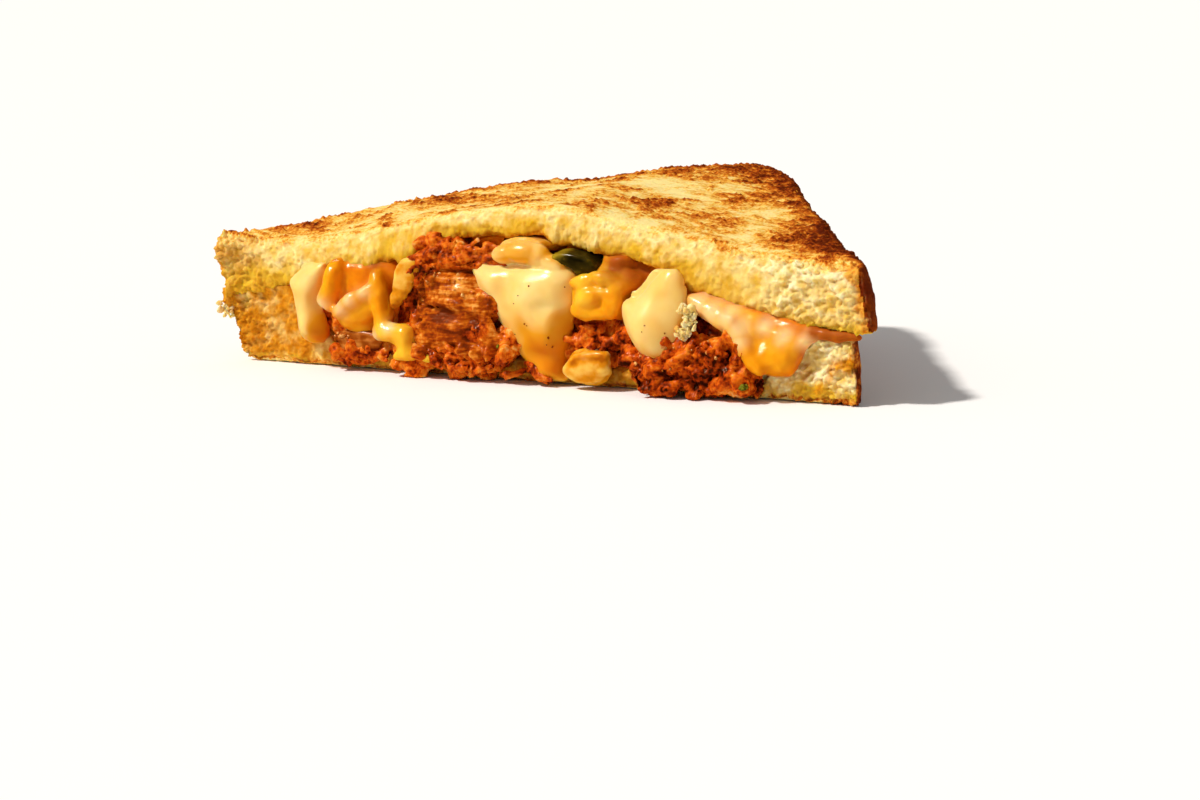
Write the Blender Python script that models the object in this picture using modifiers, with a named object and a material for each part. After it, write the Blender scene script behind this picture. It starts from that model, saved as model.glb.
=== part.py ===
"""Half of a toasted sandwich, cut from corner to corner and standing on its toasted base.

The cut runs along X and faces -Y, the loaf's rounded corner points to +Y, and +Z is up.
Lengths in this file are millimetres. They become metres as each mesh is made.
"""

import math

import bmesh
import bpy
from mathutils import Euler, Matrix, Vector, noise

MM = 0.001

# The whole slice of bread, before it was cut.
SLICE_LONG = 128.5
SLICE_SHORT = 101.0
TIP_RADIUS = 8.0
LEFT_TIP = -79.6
CORNER_ROUNDING = 12.0
SHOULDER_BULGE = 3.0
CRUST_BULGE = 1.0

# The loaf's shoulder, from left to right of its corner: where it starts, is full, and dies away.
SHOULDER_LEFT = (-31.0, -24.0)
SHOULDER_RIGHT = (17.0, 22.0)

# How far each slice's tips lean outwards from its lower edge to its upper one.
UPPER_LEFT_LEAN = 4.6
UPPER_RIGHT_LEAN = -6.0
LOWER_LEFT_LEAN = 4.4
LOWER_RIGHT_LEAN = -0.8

# Heights of the half: the tips are pressed flat, the filling lifts the middle and the far corner.
TIP_TOP = 26.4
CUT_CROWN = 9.8
CUT_CROWN_X = 3.0
CUT_CROWN_WIDTH = 39.0
LEFT_CRUST_TOP = 27.6
RIGHT_CRUST_TOP = 28.3
CORNER_TOP = 38.8
CRUST_CROWN_X = 10.0
CRUST_SLICE = 14.0
THINNEST_SLICE = 4.8

# Shallow dips in the top, at the cut and along the crust: depth, x and width.
CUT_DIP = (1.6, -57.0, 10.0)
CRUST_DIP = (1.2, -12.0, 8.0)

# The hollow that the filling makes between the slices, seen at the cut.
HOLLOW_TIP = 12.3
HOLLOW_RISE = 18.5
HOLLOW_MIDDLE = -2.0
HOLLOW_WIDTH = 51.0
HOLLOW_FALL = 2.3
BASE_MIDDLE = 4.6
BASE_RISE_LEFT = (-63.0, -46.0)
BASE_RISE_RIGHT = (52.0, 68.0)
BACK_GAP = 9.2
TIP_GAP = 0.4

# What the lower slice falls short of the upper one at its tips and along its crust.
LOWER_LEFT = 5.8
LOWER_RIGHT = 1.0
LOWER_SETBACK = 0.8

# Corner radii of a section: front low, back low, back high and front high.
UPPER_RADII = (1.2, 2.2, 4.4, 4.2)
LOWER_RADII = (1.0, 3.0, 3.4, 1.2)
FILLING_RADII = (0.6, 1.6, 1.6, 1.0)

# Unevenness, as a size and an amount: of a slice's faces, of its crust and of the filling.
FACE_WOBBLE = (17.0, 0.5)
CRUST_WOBBLE = (9.0, 0.8)
FILLING_WOBBLE = (8.0, 0.25)

# The layers of meat and cheese that run right through between the slices.
MEAT_SHARE = 0.6
MEAT_SEAT = 0.9
MEAT_LEAST = 0.5
CHEESE_SEAT = 0.6
CHEESE_AIR = 0.5
CHEESE_LEAST = 0.9
FILLING_LEFT = -61.0
FILLING_RIGHT = 59.0
MEAT_FRONT, MEAT_INSET = 1.2, 5.0
CHEESE_FRONT, CHEESE_INSET = 0.8, 4.0

# Air between neighbours, and round the heap that the cheese lies on, which is melted to one cutter.
GAP = 0.32
HEAP_GAP = 0.9
HEAP_VOXEL = 0.8

# How finely the bodies are divided.
STATIONS = 40
FILLING_STATIONS = 20
TOP_STEPS = 5
BASE_STEPS = 3
ARC_STEPS = 2
LONG_LUMP = 9.5
SMOOTH_ANGLE = 50.0

# A melted piece is remeshed in voxels of this size, and keeps this share of its faces.
SAUCE_VOXEL, SAUCE_KEPT = 1.0, 0.14
CHEESE_VOXEL, CHEESE_KEPT = 0.9, 0.035
HEAP_KEPT = 0.016
SMOOTHING = 6
MERGE = 0.002

# Lumps of pulled meat that stand out of the cut: x, z, half length, half thickness, tilt in degrees, y.
MEAT_LUMPS = (
    (-17.0, 20.5, 10.5, 5.0, -6.0, -0.6),
    (-12.0, 13.6, 13.0, 4.6, -27.0, -1.2),
    (-19.0, 8.4, 10.0, 3.8, 4.0, -1.0),
    (-7.0, 6.6, 10.5, 3.6, -22.0, -1.2),
    (-25.5, 14.0, 7.0, 3.4, 76.0, 0.2),
    (-18.0, 27.2, 7.5, 2.2, 7.0, 0.4),
    (-25.0, 3.4, 7.0, 2.5, -4.0, -1.2),
    (-12.0, 3.2, 8.0, 2.3, -3.0, -1.4),
    (1.0, 2.6, 6.0, 1.9, -8.0, -1.2),
    (16.0, 7.0, 8.0, 5.6, 0.0, 2.0),
    (27.5, 8.0, 5.6, 3.4, 60.0, -0.4),
    (33.0, 5.2, 5.6, 3.2, -14.0, -1.8),
    (37.0, 9.8, 4.6, 3.4, 24.0, -0.8),
    (43.5, 7.6, 5.6, 4.4, 8.0, -1.2),
    (49.5, 9.2, 5.2, 3.2, -32.0, -1.0),
    (51.5, 5.0, 4.6, 3.0, 18.0, -1.0),
    (44.0, 3.0, 8.0, 2.3, 0.0, -1.4),
    (33.5, 2.6, 2.4, 2.3, 0.0, -3.2),
    (-40.0, 4.2, 9.0, 3.0, -6.0, 0.2),
)
LUMP_DEPTH = 3.9

# Melted cheese at the cut, as rounded lumps that run together: x, y, z, half sizes in x, y and z.
CHEESE_LUMPS = (
    (-43.0, -0.6, 18.6, 8.0, 2.4, 4.6),
    (-40.5, -1.2, 13.4, 8.4, 2.6, 4.6),
    (-35.0, -1.0, 15.0, 2.6, 2.2, 7.4),
    (-33.0, -1.2, 9.0, 2.4, 2.0, 4.0),
    (-29.4, -2.6, 5.4, 4.6, 2.0, 2.6),
    (-26.6, -2.8, 3.0, 2.4, 1.8, 2.4),
    (20.0, -0.8, 20.8, 8.4, 2.4, 3.6),
    (18.5, -1.2, 16.0, 6.6, 2.6, 4.0),
    (25.0, -0.8, 17.0, 4.6, 2.2, 4.4),
    (41.0, -0.8, 20.4, 3.0, 2.2, 2.4),
    (46.0, -1.4, 18.0, 4.4, 2.6, 3.0),
    (51.0, -1.8, 15.0, 4.8, 3.0, 3.8),
    (52.0, -1.0, 18.0, 4.4, 2.4, 2.4),
    (56.0, -2.2, 11.6, 5.6, 3.4, 4.8),
    (58.6, -2.4, 9.0, 4.8, 3.2, 4.0),
    (60.0, -1.4, 14.0, 5.4, 2.6, 2.6),
)

# Creamy sauce: each has the drip at the cut and a ribbon that runs back under the upper slice.
SAUCES = {
    "sauce_left": {
        "lumps": (
            (-52.6, -1.6, 20.0, 5.0, 3.0, 3.4),
            (-52.6, -2.2, 15.0, 5.0, 3.2, 4.6),
            (-52.2, -2.4, 10.4, 4.1, 2.8, 3.8),
            (-51.8, -2.4, 7.8, 3.4, 2.5, 3.1),
        ),
        "ribbon": (-52.2, 12.0, 4.2, 1.7),
    },
    "sauce_centre": {
        "lumps": (
            (0.6, -1.6, 27.4, 6.6, 3.4, 3.0),
            (2.6, -2.4, 22.4, 12.6, 4.2, 5.2),
            (-4.4, -2.6, 21.4, 5.6, 3.8, 5.2),
            (8.2, -3.0, 17.0, 7.0, 4.4, 6.8),
            (2.6, -2.8, 15.6, 6.6, 4.2, 6.6),
            (6.8, -3.0, 10.4, 6.2, 4.0, 5.4),
            (7.4, -3.0, 5.0, 4.6, 3.2, 4.6),
            (8.4, -2.6, 2.0, 6.2, 3.0, 1.7),
        ),
        "ribbon": (1.0, 39.0, 7.6, 2.0),
    },
    "sauce_right": {
        "lumps": (
            (33.6, -1.2, 22.6, 3.6, 2.8, 3.0),
            (32.6, -2.6, 17.4, 7.2, 3.8, 5.6),
            (32.8, -3.0, 13.2, 6.8, 3.8, 5.8),
            (33.2, -3.0, 9.8, 4.8, 3.2, 3.9),
        ),
        "ribbon": (33.0, 21.0, 4.4, 1.7),
    },
}
RIBBON_SLOPES = 3
RIBBON_AIR = 0.5
RIBBON_OVERLAP = 0.75

# Small pieces: centre, half sizes and turn in degrees about X, Y and Z.
PEPPER_PLACE = (13.2, 0.6, 26.2)
PEPPER_RING = (5.4, 3.6)
PEPPER_THICKNESS = 3.0
PEPPER_ROUNDING = 0.8
PEPPER_TURN = (14.0, 12.0, 4.0)
ONION_PLACE = (17.2, -2.8, 4.6)
ONION_HALF = (5.6, 2.3, 4.0)
ONION_TURN = (0.0, 10.0, 0.0)
STRIP_PLACE = (-27.4, -3.6, 18.4)
STRIP_HALF = (2.2, 1.6, 7.2)
STRIP_TURN = (0.0, 31.0, 0.0)

# Colour, roughness and metallic of each material.
FINISHES = {
    "toasted_bread": ((0.83, 0.52, 0.19), 0.62, 0.0),
    "pulled_meat": ((0.42, 0.09, 0.02), 0.38, 0.0),
    "melted_cheese": ((0.90, 0.45, 0.06), 0.30, 0.0),
    "creamy_sauce": ((0.93, 0.58, 0.25), 0.22, 0.0),
    "green_pepper": ((0.06, 0.07, 0.01), 0.25, 0.0),
    "pale_onion": ((0.85, 0.58, 0.20), 0.28, 0.0),
}

LEFT_ANGLE = math.atan2(SLICE_SHORT, SLICE_LONG)
RIGHT_ANGLE = math.pi / 2 - LEFT_ANGLE
CUT_LENGTH = math.hypot(SLICE_LONG, SLICE_SHORT)


def blunting(angle):
    """How far a sharp tip of this angle would reach past the rounded one."""
    return TIP_RADIUS * (math.sin(math.pi / 2 - angle) / math.tan(angle) + math.sin(angle) - 1.0)


SHARP_LEFT = LEFT_TIP - blunting(LEFT_ANGLE)
SHARP_RIGHT = SHARP_LEFT + CUT_LENGTH
RIGHT_TIP = SHARP_RIGHT - blunting(RIGHT_ANGLE)
CORNER_X = SHARP_RIGHT - SLICE_SHORT * math.cos(RIGHT_ANGLE)


def ease(start, end, value):
    """0 before start, 1 after end and smooth between them."""
    t = min(max((value - start) / (end - start), 0.0), 1.0)
    return t * t * (3.0 - 2.0 * t)


def bell(value, middle, width):
    return math.exp(-(((value - middle) / width) ** 2))


def wobble(x, y, z, size, amount):
    """Smooth unevenness of about this size, the same on each run."""
    return amount * noise.noise(Vector((x / size, y / size, z / size)))


def crust_depth(x, left=LEFT_TIP, right=RIGHT_TIP):
    """Distance from the cut to the crust at x: two straight sides, a shouldered corner and round tips."""
    slope_left, slope_right = math.tan(LEFT_ANGLE), math.tan(RIGHT_ANGLE)
    rise = (x - left + blunting(LEFT_ANGLE)) * slope_left
    fall = (right + blunting(RIGHT_ANGLE) - x) * slope_right
    depth = 0.5 * (rise + fall - math.hypot(rise - fall, CORNER_ROUNDING))
    past = x - CORNER_X
    depth += SHOULDER_BULGE * ease(*SHOULDER_LEFT, past) * (1.0 - ease(*SHOULDER_RIGHT, past))
    for inward, angle in ((x - left, LEFT_ANGLE), (right - x, RIGHT_ANGLE)):
        if inward < TIP_RADIUS * (1.0 - math.sin(angle)):
            depth = min(depth, math.sqrt(max(2.0 * TIP_RADIUS * inward - inward**2, 0.0)))
    return depth


def top_at_cut(x):
    dip, dip_x, dip_width = CUT_DIP
    crown = CUT_CROWN * bell(x, CUT_CROWN_X, CUT_CROWN_WIDTH)
    return TIP_TOP + crown - dip * bell(x, dip_x, dip_width)


def top_at_crust(x):
    """The crust climbs from both tips to the far corner, where the shoulder stands a little higher."""
    dip, dip_x, dip_width = CRUST_DIP
    if x < CRUST_CROWN_X:
        t = (x - LEFT_TIP) / (CRUST_CROWN_X - LEFT_TIP)
        low = LEFT_CRUST_TOP
    else:
        t = (RIGHT_TIP - x) / (RIGHT_TIP - CRUST_CROWN_X)
        low = RIGHT_CRUST_TOP
    climb = math.sin(0.5 * math.pi * min(max(t, 0.0), 1.0))
    return low + (CORNER_TOP - low) * climb - dip * bell(x, dip_x, dip_width)


def hollow_at_cut(x):
    fall = math.exp(-(abs((x - HOLLOW_MIDDLE) / HOLLOW_WIDTH) ** HOLLOW_FALL))
    return HOLLOW_TIP + HOLLOW_RISE * fall


def back_gap(x):
    """The gap between the slices along the crust: shut at the tips, widest at the corner."""
    t = min(max((x - LEFT_TIP) / (RIGHT_TIP - LEFT_TIP), 0.0), 1.0)
    return TIP_GAP + BACK_GAP * math.sin(math.pi * t) ** 1.3


def upper_top(x, across):
    front, back = top_at_cut(x), top_at_crust(x)
    return front + (back - front) * across**0.8


def upper_under(x, across):
    front = min(hollow_at_cut(x), top_at_cut(x) - THINNEST_SLICE)
    back = top_at_crust(x) - CRUST_SLICE
    return front + (back - front) * ease(0.0, 0.9, across)


def lower_top(x, across):
    """The lower slice meets the upper one at its tips and is pressed thin under the filling."""
    ends = 1.0 - ease(*BASE_RISE_LEFT, x) + ease(*BASE_RISE_RIGHT, x)
    front = BASE_MIDDLE + (hollow_at_cut(x) - TIP_GAP - BASE_MIDDLE) * ends
    back = top_at_crust(x) - CRUST_SLICE - back_gap(x)
    height = front + (back - front) * ease(0.0, 0.95, across)
    return min(height, upper_under(x, across) - TIP_GAP)


def spacing(u):
    """Stations stand closer together near the tips, where the outline turns."""
    return 0.7 * u + 0.3 * 0.5 * (1.0 - math.cos(math.pi * u))


def corner(y, z, radius, start):
    """Points of one rounded corner of a section, turning 90 degrees anticlockwise from start."""
    steps = (math.radians(start + 90.0 * k / ARC_STEPS) for k in range(ARC_STEPS + 1))
    return [(y + radius * math.cos(a), z + radius * math.sin(a)) for a in steps]


def section(front, back, low, high, radii, bulge):
    """Closed loop of (y, z) round a layer at one station. low and high give z for a share of its depth."""
    depth = back - front
    thin = min(high(0.0) - low(0.0), high(1.0) - low(1.0))
    fit = [min(radius, 0.3 * depth, 0.46 * thin) for radius in radii]

    def z_at(height, y):
        return height((y - front) / depth)

    loop = corner(front + fit[0], z_at(low, front + fit[0]) + fit[0], fit[0], 180.0)
    for k in range(1, BASE_STEPS):
        y = front + fit[0] + (depth - fit[0] - fit[1]) * k / BASE_STEPS
        loop.append((y, z_at(low, y)))
    loop += corner(back - fit[1], z_at(low, back - fit[1]) + fit[1], fit[1], 270.0)
    middle = 0.5 * (low(1.0) + high(1.0))
    loop.append((back + bulge, middle))
    loop += corner(back - fit[2], z_at(high, back - fit[2]) - fit[2], fit[2], 0.0)
    for k in range(1, TOP_STEPS):
        y = back - fit[2] - (depth - fit[2] - fit[3]) * k / TOP_STEPS
        loop.append((y, z_at(high, y)))
    loop += corner(front + fit[3], z_at(high, front + fit[3]) - fit[3], fit[3], 90.0)
    return loop


def new_object(name, bm, finish, collection):
    """Closes up the mesh, turns its faces outwards and makes an object of it, in metres."""
    bmesh.ops.recalc_face_normals(bm, faces=bm.faces)
    bmesh.ops.scale(bm, vec=(MM, MM, MM), verts=bm.verts)
    mesh = bpy.data.meshes.new(name)
    bm.to_mesh(mesh)
    bm.free()
    mesh.shade_smooth()
    mesh.set_sharp_from_angle(angle=math.radians(SMOOTH_ANGLE))
    obj = bpy.data.objects.new(name, mesh)
    collection.objects.link(obj)
    if finish:
        mesh.materials.append(material(finish))
    return obj


def material(finish):
    """One Principled material for each finish, shared by the pieces that have it."""
    if finish in bpy.data.materials:
        return bpy.data.materials[finish]
    colour, roughness, metallic = FINISHES[finish]
    mat = bpy.data.materials.new(finish)
    mat.use_nodes = True
    shader = mat.node_tree.nodes["Principled BSDF"]
    shader.inputs["Base Color"].default_value = (*colour, 1.0)
    shader.inputs["Roughness"].default_value = roughness
    shader.inputs["Metallic"].default_value = metallic
    mat.diffuse_color = (*colour, 1.0)
    return mat


def loft(name, loops, finish, collection):
    """A closed body through the loops, one for each station: (x, y, z) points, as many in each loop."""
    bm = bmesh.new()
    bmesh.ops.create_grid(bm, x_segments=len(loops) - 1, y_segments=len(loops[0]), size=0.5)
    for vert in bm.verts:
        station = round((vert.co.x + 0.5) * (len(loops) - 1))
        step = round((vert.co.y + 0.5) * len(loops[0]))
        vert.co = loops[station][step % len(loops[0])]
    bmesh.ops.remove_doubles(bm, verts=bm.verts, dist=1e-4)
    rims = [edge for edge in bm.edges if edge.is_boundary]
    bmesh.ops.holes_fill(bm, edges=rims, sides=0)
    return new_object(name, bm, finish, collection)


def bread_loops(left, right, leans, front, low, high, radii, flat_base):
    """Sections of one slice from tip to tip, with the lean of its left and right tips."""
    loops = []
    first, last = left + 0.5, right - 0.5
    for station in range(STATIONS + 1):
        x = first + (last - first) * spacing(station / STATIONS)
        depth = crust_depth(x, left, right)
        near = min(front, 0.2 * depth)
        lean = leans[1] * ease(right - 10.0, right, x) - leans[0] * (1.0 - ease(left, left + 10.0, x))
        outline = section(near, depth, lambda v: low(x, v), lambda v: high(x, v), radii, CRUST_BULGE)
        loop = []
        for y, z in outline:
            lift = 0.0 if flat_base and z < 1e-6 else wobble(x, y, 0.0, *FACE_WOBBLE)
            away = wobble(x, 0.0, z, *CRUST_WOBBLE) * ease(0.3, 0.9, y / depth)
            rise = z / high(x, 0.5) - (0.0 if flat_base else 1.0)
            loop.append((x + lean * rise, y + away, max(z + lift, 0.0)))
        loops.append(loop)
    return loops


def make_breads(collection):
    upper = bread_loops(
        LEFT_TIP,
        RIGHT_TIP,
        (UPPER_LEFT_LEAN, UPPER_RIGHT_LEAN),
        0.0,
        upper_under,
        upper_top,
        UPPER_RADII,
        False,
    )
    lower = bread_loops(
        LEFT_TIP + LOWER_LEFT,
        RIGHT_TIP - LOWER_RIGHT,
        (LOWER_LEFT_LEAN, LOWER_RIGHT_LEAN),
        LOWER_SETBACK,
        lambda x, across: 0.0,
        lower_top,
        LOWER_RADII,
        True,
    )
    top = loft("bread_top", upper, "toasted_bread", collection)
    return top, loft("bread_bottom", lower, "toasted_bread", collection)


def filling_loops(low, high, front, inset):
    """Sections of a layer that runs right through between the slices."""
    loops = []
    for station in range(FILLING_STATIONS + 1):
        x = FILLING_LEFT + (FILLING_RIGHT - FILLING_LEFT) * spacing(station / FILLING_STATIONS)
        whole = crust_depth(x)
        back = whole - inset * min(1.0, whole / 24.0)
        loop = section(
            front,
            back,
            lambda v: low(x, (front + v * (back - front)) / whole),
            lambda v: high(x, (front + v * (back - front)) / whole),
            FILLING_RADII,
            0.6,
        )
        loops.append([(x, y, z + wobble(x, y, z, *FILLING_WOBBLE)) for y, z in loop])
    return loops


def meat_low(x, across):
    return lower_top(x, across) + MEAT_SEAT


def meat_high(x, across):
    room = upper_under(x, across) - lower_top(x, across) - 2.0 * MEAT_SEAT
    return meat_low(x, across) + max(MEAT_SHARE * room, MEAT_LEAST)


def cheese_low(x, across):
    return meat_high(x, across) + CHEESE_SEAT


def cheese_high(x, across):
    return max(upper_under(x, across) - CHEESE_AIR, cheese_low(x, across) + CHEESE_LEAST)


def rounded(name, centre, half, turn, helpers, detail=2):
    """An ellipsoid with these half sizes, turned about its centre."""
    bm = bmesh.new()
    bmesh.ops.create_icosphere(bm, subdivisions=detail, radius=1.0)
    place = Matrix.LocRotScale(Vector(centre), Euler([math.radians(a) for a in turn]), Vector(half))
    bmesh.ops.transform(bm, matrix=place, verts=bm.verts)
    return new_object(name, bm, None, helpers)


def apply_modifiers(obj):
    """Gives the object the mesh that its modifiers make, and drops them."""
    graph = bpy.context.evaluated_depsgraph_get()
    mesh = bpy.data.meshes.new_from_object(obj.evaluated_get(graph))
    obj.modifiers.clear()
    old, obj.data = obj.data, mesh
    bpy.data.meshes.remove(old)


def remove(obj):
    mesh = obj.data
    bpy.data.objects.remove(obj)
    bpy.data.meshes.remove(mesh)


def join_all(base, lumps, helpers):
    """One Boolean union of the base with all the lumps, applied, with the lumps then removed."""
    group = bpy.data.collections.new(base.name + "_lumps")
    helpers.children.link(group)
    for lump in lumps:
        helpers.objects.unlink(lump)
        group.objects.link(lump)
    union = base.modifiers.new("join", "BOOLEAN")
    union.operation = "UNION"
    union.operand_type = "COLLECTION"
    union.collection = group
    union.solver = "EXACT"
    union.use_self = True
    apply_modifiers(base)
    for lump in lumps:
        remove(lump)
    bpy.data.collections.remove(group)


def melt(obj, voxel, keep, smoothing=SMOOTHING):
    """Runs overlapping lumps together into one smooth body with a share of its faces kept."""
    remesh = obj.modifiers.new("melt", "REMESH")
    remesh.mode = "VOXEL"
    remesh.voxel_size = voxel * MM
    smooth = obj.modifiers.new("smooth", "SMOOTH")
    smooth.factor = 0.5
    smooth.iterations = smoothing
    thin = obj.modifiers.new("thin", "DECIMATE")
    thin.ratio = keep
    apply_modifiers(obj)


def grown_copy(pieces, gap, helpers):
    """A cutter with the shapes of these pieces, swollen by the gap."""
    bm = bmesh.new()
    for piece in pieces:
        bm.from_mesh(piece.data)
    bm.normal_update()
    for vert in bm.verts:
        vert.co += vert.normal * gap * MM * min(vert.calc_shell_factor(), 1.6)
    grown = bpy.data.objects.new("grown", bpy.data.meshes.new("grown"))
    bm.to_mesh(grown.data)
    bm.free()
    helpers.objects.link(grown)
    return grown


def cut_away(piece, cutter):
    cut = piece.modifiers.new("clear", "BOOLEAN")
    cut.operation = "DIFFERENCE"
    cut.solver = "EXACT"
    cut.use_self = True
    cut.object = cutter
    apply_modifiers(piece)
    remove(cutter)


def keep_clear(piece, neighbours, helpers):
    """Cuts from the piece what lies inside its neighbours, and the gap round them."""
    for neighbour in neighbours:
        cut_away(piece, grown_copy([neighbour], GAP, helpers))
    largest_only(piece)


def keep_clear_of_heap(piece, neighbours, helpers):
    """The same for neighbours that touch each other: one melted cutter stands for them all."""
    cutter = grown_copy(neighbours, HEAP_GAP, helpers)
    melt(cutter, HEAP_VOXEL, HEAP_KEPT, 1)
    cut_away(piece, cutter)
    largest_only(piece)


def largest_only(obj):
    """Drops the scraps that a cut leaves beside the piece itself."""
    bm = bmesh.new()
    bm.from_mesh(obj.data)
    bmesh.ops.remove_doubles(bm, verts=bm.verts, dist=MERGE * MM)
    bmesh.ops.dissolve_degenerate(bm, edges=bm.edges, dist=MERGE * MM)
    bmesh.ops.triangulate(bm, faces=bm.faces)
    left, islands = set(bm.faces), []
    while left:
        reach, island = [left.pop()], []
        while reach:
            face = reach.pop()
            island.append(face)
            for edge in face.edges:
                for other in edge.link_faces:
                    if other in left:
                        left.discard(other)
                        reach.append(other)
        islands.append(island)
    keep = max(islands, key=lambda island: sum(face.calc_area() for face in island))
    scraps = [face for island in islands if island is not keep for face in island]
    bmesh.ops.delete(bm, geom=scraps, context="FACES")
    loose = [vert for vert in bm.verts if not vert.link_faces]
    bmesh.ops.delete(bm, geom=loose, context="VERTS")
    bmesh.ops.recalc_face_normals(bm, faces=bm.faces)
    bm.to_mesh(obj.data)
    bm.free()
    obj.data.shade_smooth()
    obj.data.set_sharp_from_angle(angle=math.radians(SMOOTH_ANGLE))


def make_meat(collection, helpers):
    loops = filling_loops(meat_low, meat_high, MEAT_FRONT, MEAT_INSET)
    meat = loft("pulled_meat", loops, "pulled_meat", collection)
    lumps = []
    for x, z, half, thick, tilt, y in MEAT_LUMPS:
        detail = 2 if half > LONG_LUMP else 1
        half_sizes = (half, LUMP_DEPTH, thick)
        lumps.append(rounded("lump", (x, y, z), half_sizes, (0.0, tilt, 0.0), helpers, detail))
    join_all(meat, lumps, helpers)
    return meat


def make_cheese(collection, helpers):
    loops = filling_loops(cheese_low, cheese_high, CHEESE_FRONT, CHEESE_INSET)
    cheese = loft("melted_cheese", loops, "melted_cheese", collection)
    lumps = [
        rounded("lump", (x, y, z), half, (0.0, 0.0, 0.0), helpers)
        for x, y, z, *half in CHEESE_LUMPS
    ]
    join_all(cheese, lumps, helpers)
    melt(cheese, CHEESE_VOXEL, CHEESE_KEPT)
    return cheese


def make_sauce(name, shape, collection, helpers):
    x, reach, half_width, half_height = shape["ribbon"]
    lumps = [
        rounded("lump", (lx, ly, lz), half, (0.0, 0.0, 0.0), helpers)
        for lx, ly, lz, *half in shape["lumps"]
    ]
    run = reach / RIBBON_SLOPES
    for stretch in range(RIBBON_SLOPES):
        shares = [run * (stretch + k) / crust_depth(x) for k in (0, 1)]
        ends = [upper_under(x, share) - half_height - RIBBON_AIR for share in shares]
        place = (x, run * (stretch + 0.5), 0.5 * sum(ends))
        pitch = math.degrees(math.atan2(ends[1] - ends[0], run))
        half = (half_width, RIBBON_OVERLAP * run, half_height)
        lumps.append(rounded("lump", place, half, (pitch, 0.0, 0.0), helpers))
    sauce = lumps.pop()
    helpers.objects.unlink(sauce)
    collection.objects.link(sauce)
    sauce.name = name
    sauce.data.name = name
    sauce.data.materials.append(material("creamy_sauce"))
    join_all(sauce, lumps, helpers)
    melt(sauce, SAUCE_VOXEL, SAUCE_KEPT)
    return sauce


def make_pepper(collection, helpers):
    """Part of a pepper ring: a short thick-walled tube lying in the filling."""
    outer, inner = PEPPER_RING
    bm = bmesh.new()
    bmesh.ops.create_cone(
        bm, cap_ends=True, segments=20, radius1=outer, radius2=outer, depth=2.0 * PEPPER_THICKNESS
    )
    edges = [edge for edge in bm.edges if len(edge.link_faces) == 2 and edge.calc_face_angle() > 1.0]
    bmesh.ops.bevel(bm, geom=edges, offset=PEPPER_ROUNDING, segments=2, affect="EDGES", profile=0.5)
    turn = Euler([math.radians(a) for a in PEPPER_TURN]).to_matrix().to_4x4()
    upright = Matrix.Rotation(math.pi / 2, 4, "X")
    flatten = Matrix.Diagonal((1.0, 1.0, inner / outer, 1.0))
    place = Matrix.Translation(PEPPER_PLACE)
    bmesh.ops.transform(bm, matrix=place @ turn @ flatten @ upright, verts=bm.verts)
    return new_object("green_pepper", bm, "green_pepper", collection)


def make_small_piece(name, centre, half, turn, collection, helpers):
    piece = rounded(name, centre, half, turn, helpers)
    helpers.objects.unlink(piece)
    collection.objects.link(piece)
    piece.data.materials.append(material("pale_onion"))
    return piece


def stand_on_origin(pieces):
    """Moves every mesh so that the middle of the whole part's base is the origin."""
    corners = [vert.co for piece in pieces for vert in piece.data.vertices]
    low = [min(co[axis] for co in corners) for axis in range(3)]
    high = [max(co[axis] for co in corners) for axis in range(3)]
    shift = Vector((-0.5 * (low[0] + high[0]), -0.5 * (low[1] + high[1]), -low[2]))
    for piece in pieces:
        piece.data.transform(Matrix.Translation(shift))
    print("part moved by", [round(value / MM, 2) for value in shift], "mm")


def main():
    for obj in list(bpy.data.objects):
        bpy.data.objects.remove(obj)
    parts = bpy.data.collections.new("toasted_sandwich_half")
    helpers = bpy.data.collections.new("cutters")
    for collection in (parts, helpers):
        bpy.context.scene.collection.children.link(collection)

    top, bottom = make_breads(parts)
    meat = make_meat(parts, helpers)
    sauces = [make_sauce(name, shape, parts, helpers) for name, shape in SAUCES.items()]
    pepper = make_pepper(parts, helpers)
    onion = make_small_piece("onion_piece", ONION_PLACE, ONION_HALF, ONION_TURN, parts, helpers)
    strip = make_small_piece("onion_strip", STRIP_PLACE, STRIP_HALF, STRIP_TURN, parts, helpers)
    cheese = make_cheese(parts, helpers)

    breads = [top, bottom]
    keep_clear(bottom, [top], helpers)
    keep_clear(meat, breads, helpers)
    for sauce in sauces:
        keep_clear(sauce, breads + [meat], helpers)
    placed = breads + [meat] + sauces
    for piece in (strip, onion, pepper):
        keep_clear(piece, placed, helpers)
        placed.append(piece)
    keep_clear(cheese, breads + [pepper], helpers)
    keep_clear_of_heap(cheese, [meat, *sauces, strip, onion], helpers)
    placed.append(cheese)
    bpy.data.collections.remove(helpers)
    stand_on_origin(placed)
    for piece in placed:
        print(piece.name, len(piece.data.polygons))


main()
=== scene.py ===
# %% [markdown]
# # Half of a toasted sandwich
# The plain solids of the sandwich are already built at their real size. This lesson gives them
# their looks: toasted bread with an open crumb, shreds of braised meat, melted cheese and three
# drips of creamy sauce. First the solids are loaded as a fixed frame that every piece fits.

import math
import random
from functools import partial

import bpy
import numpy as np
from mathutils import Euler, Matrix, Vector, kdtree, noise


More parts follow.
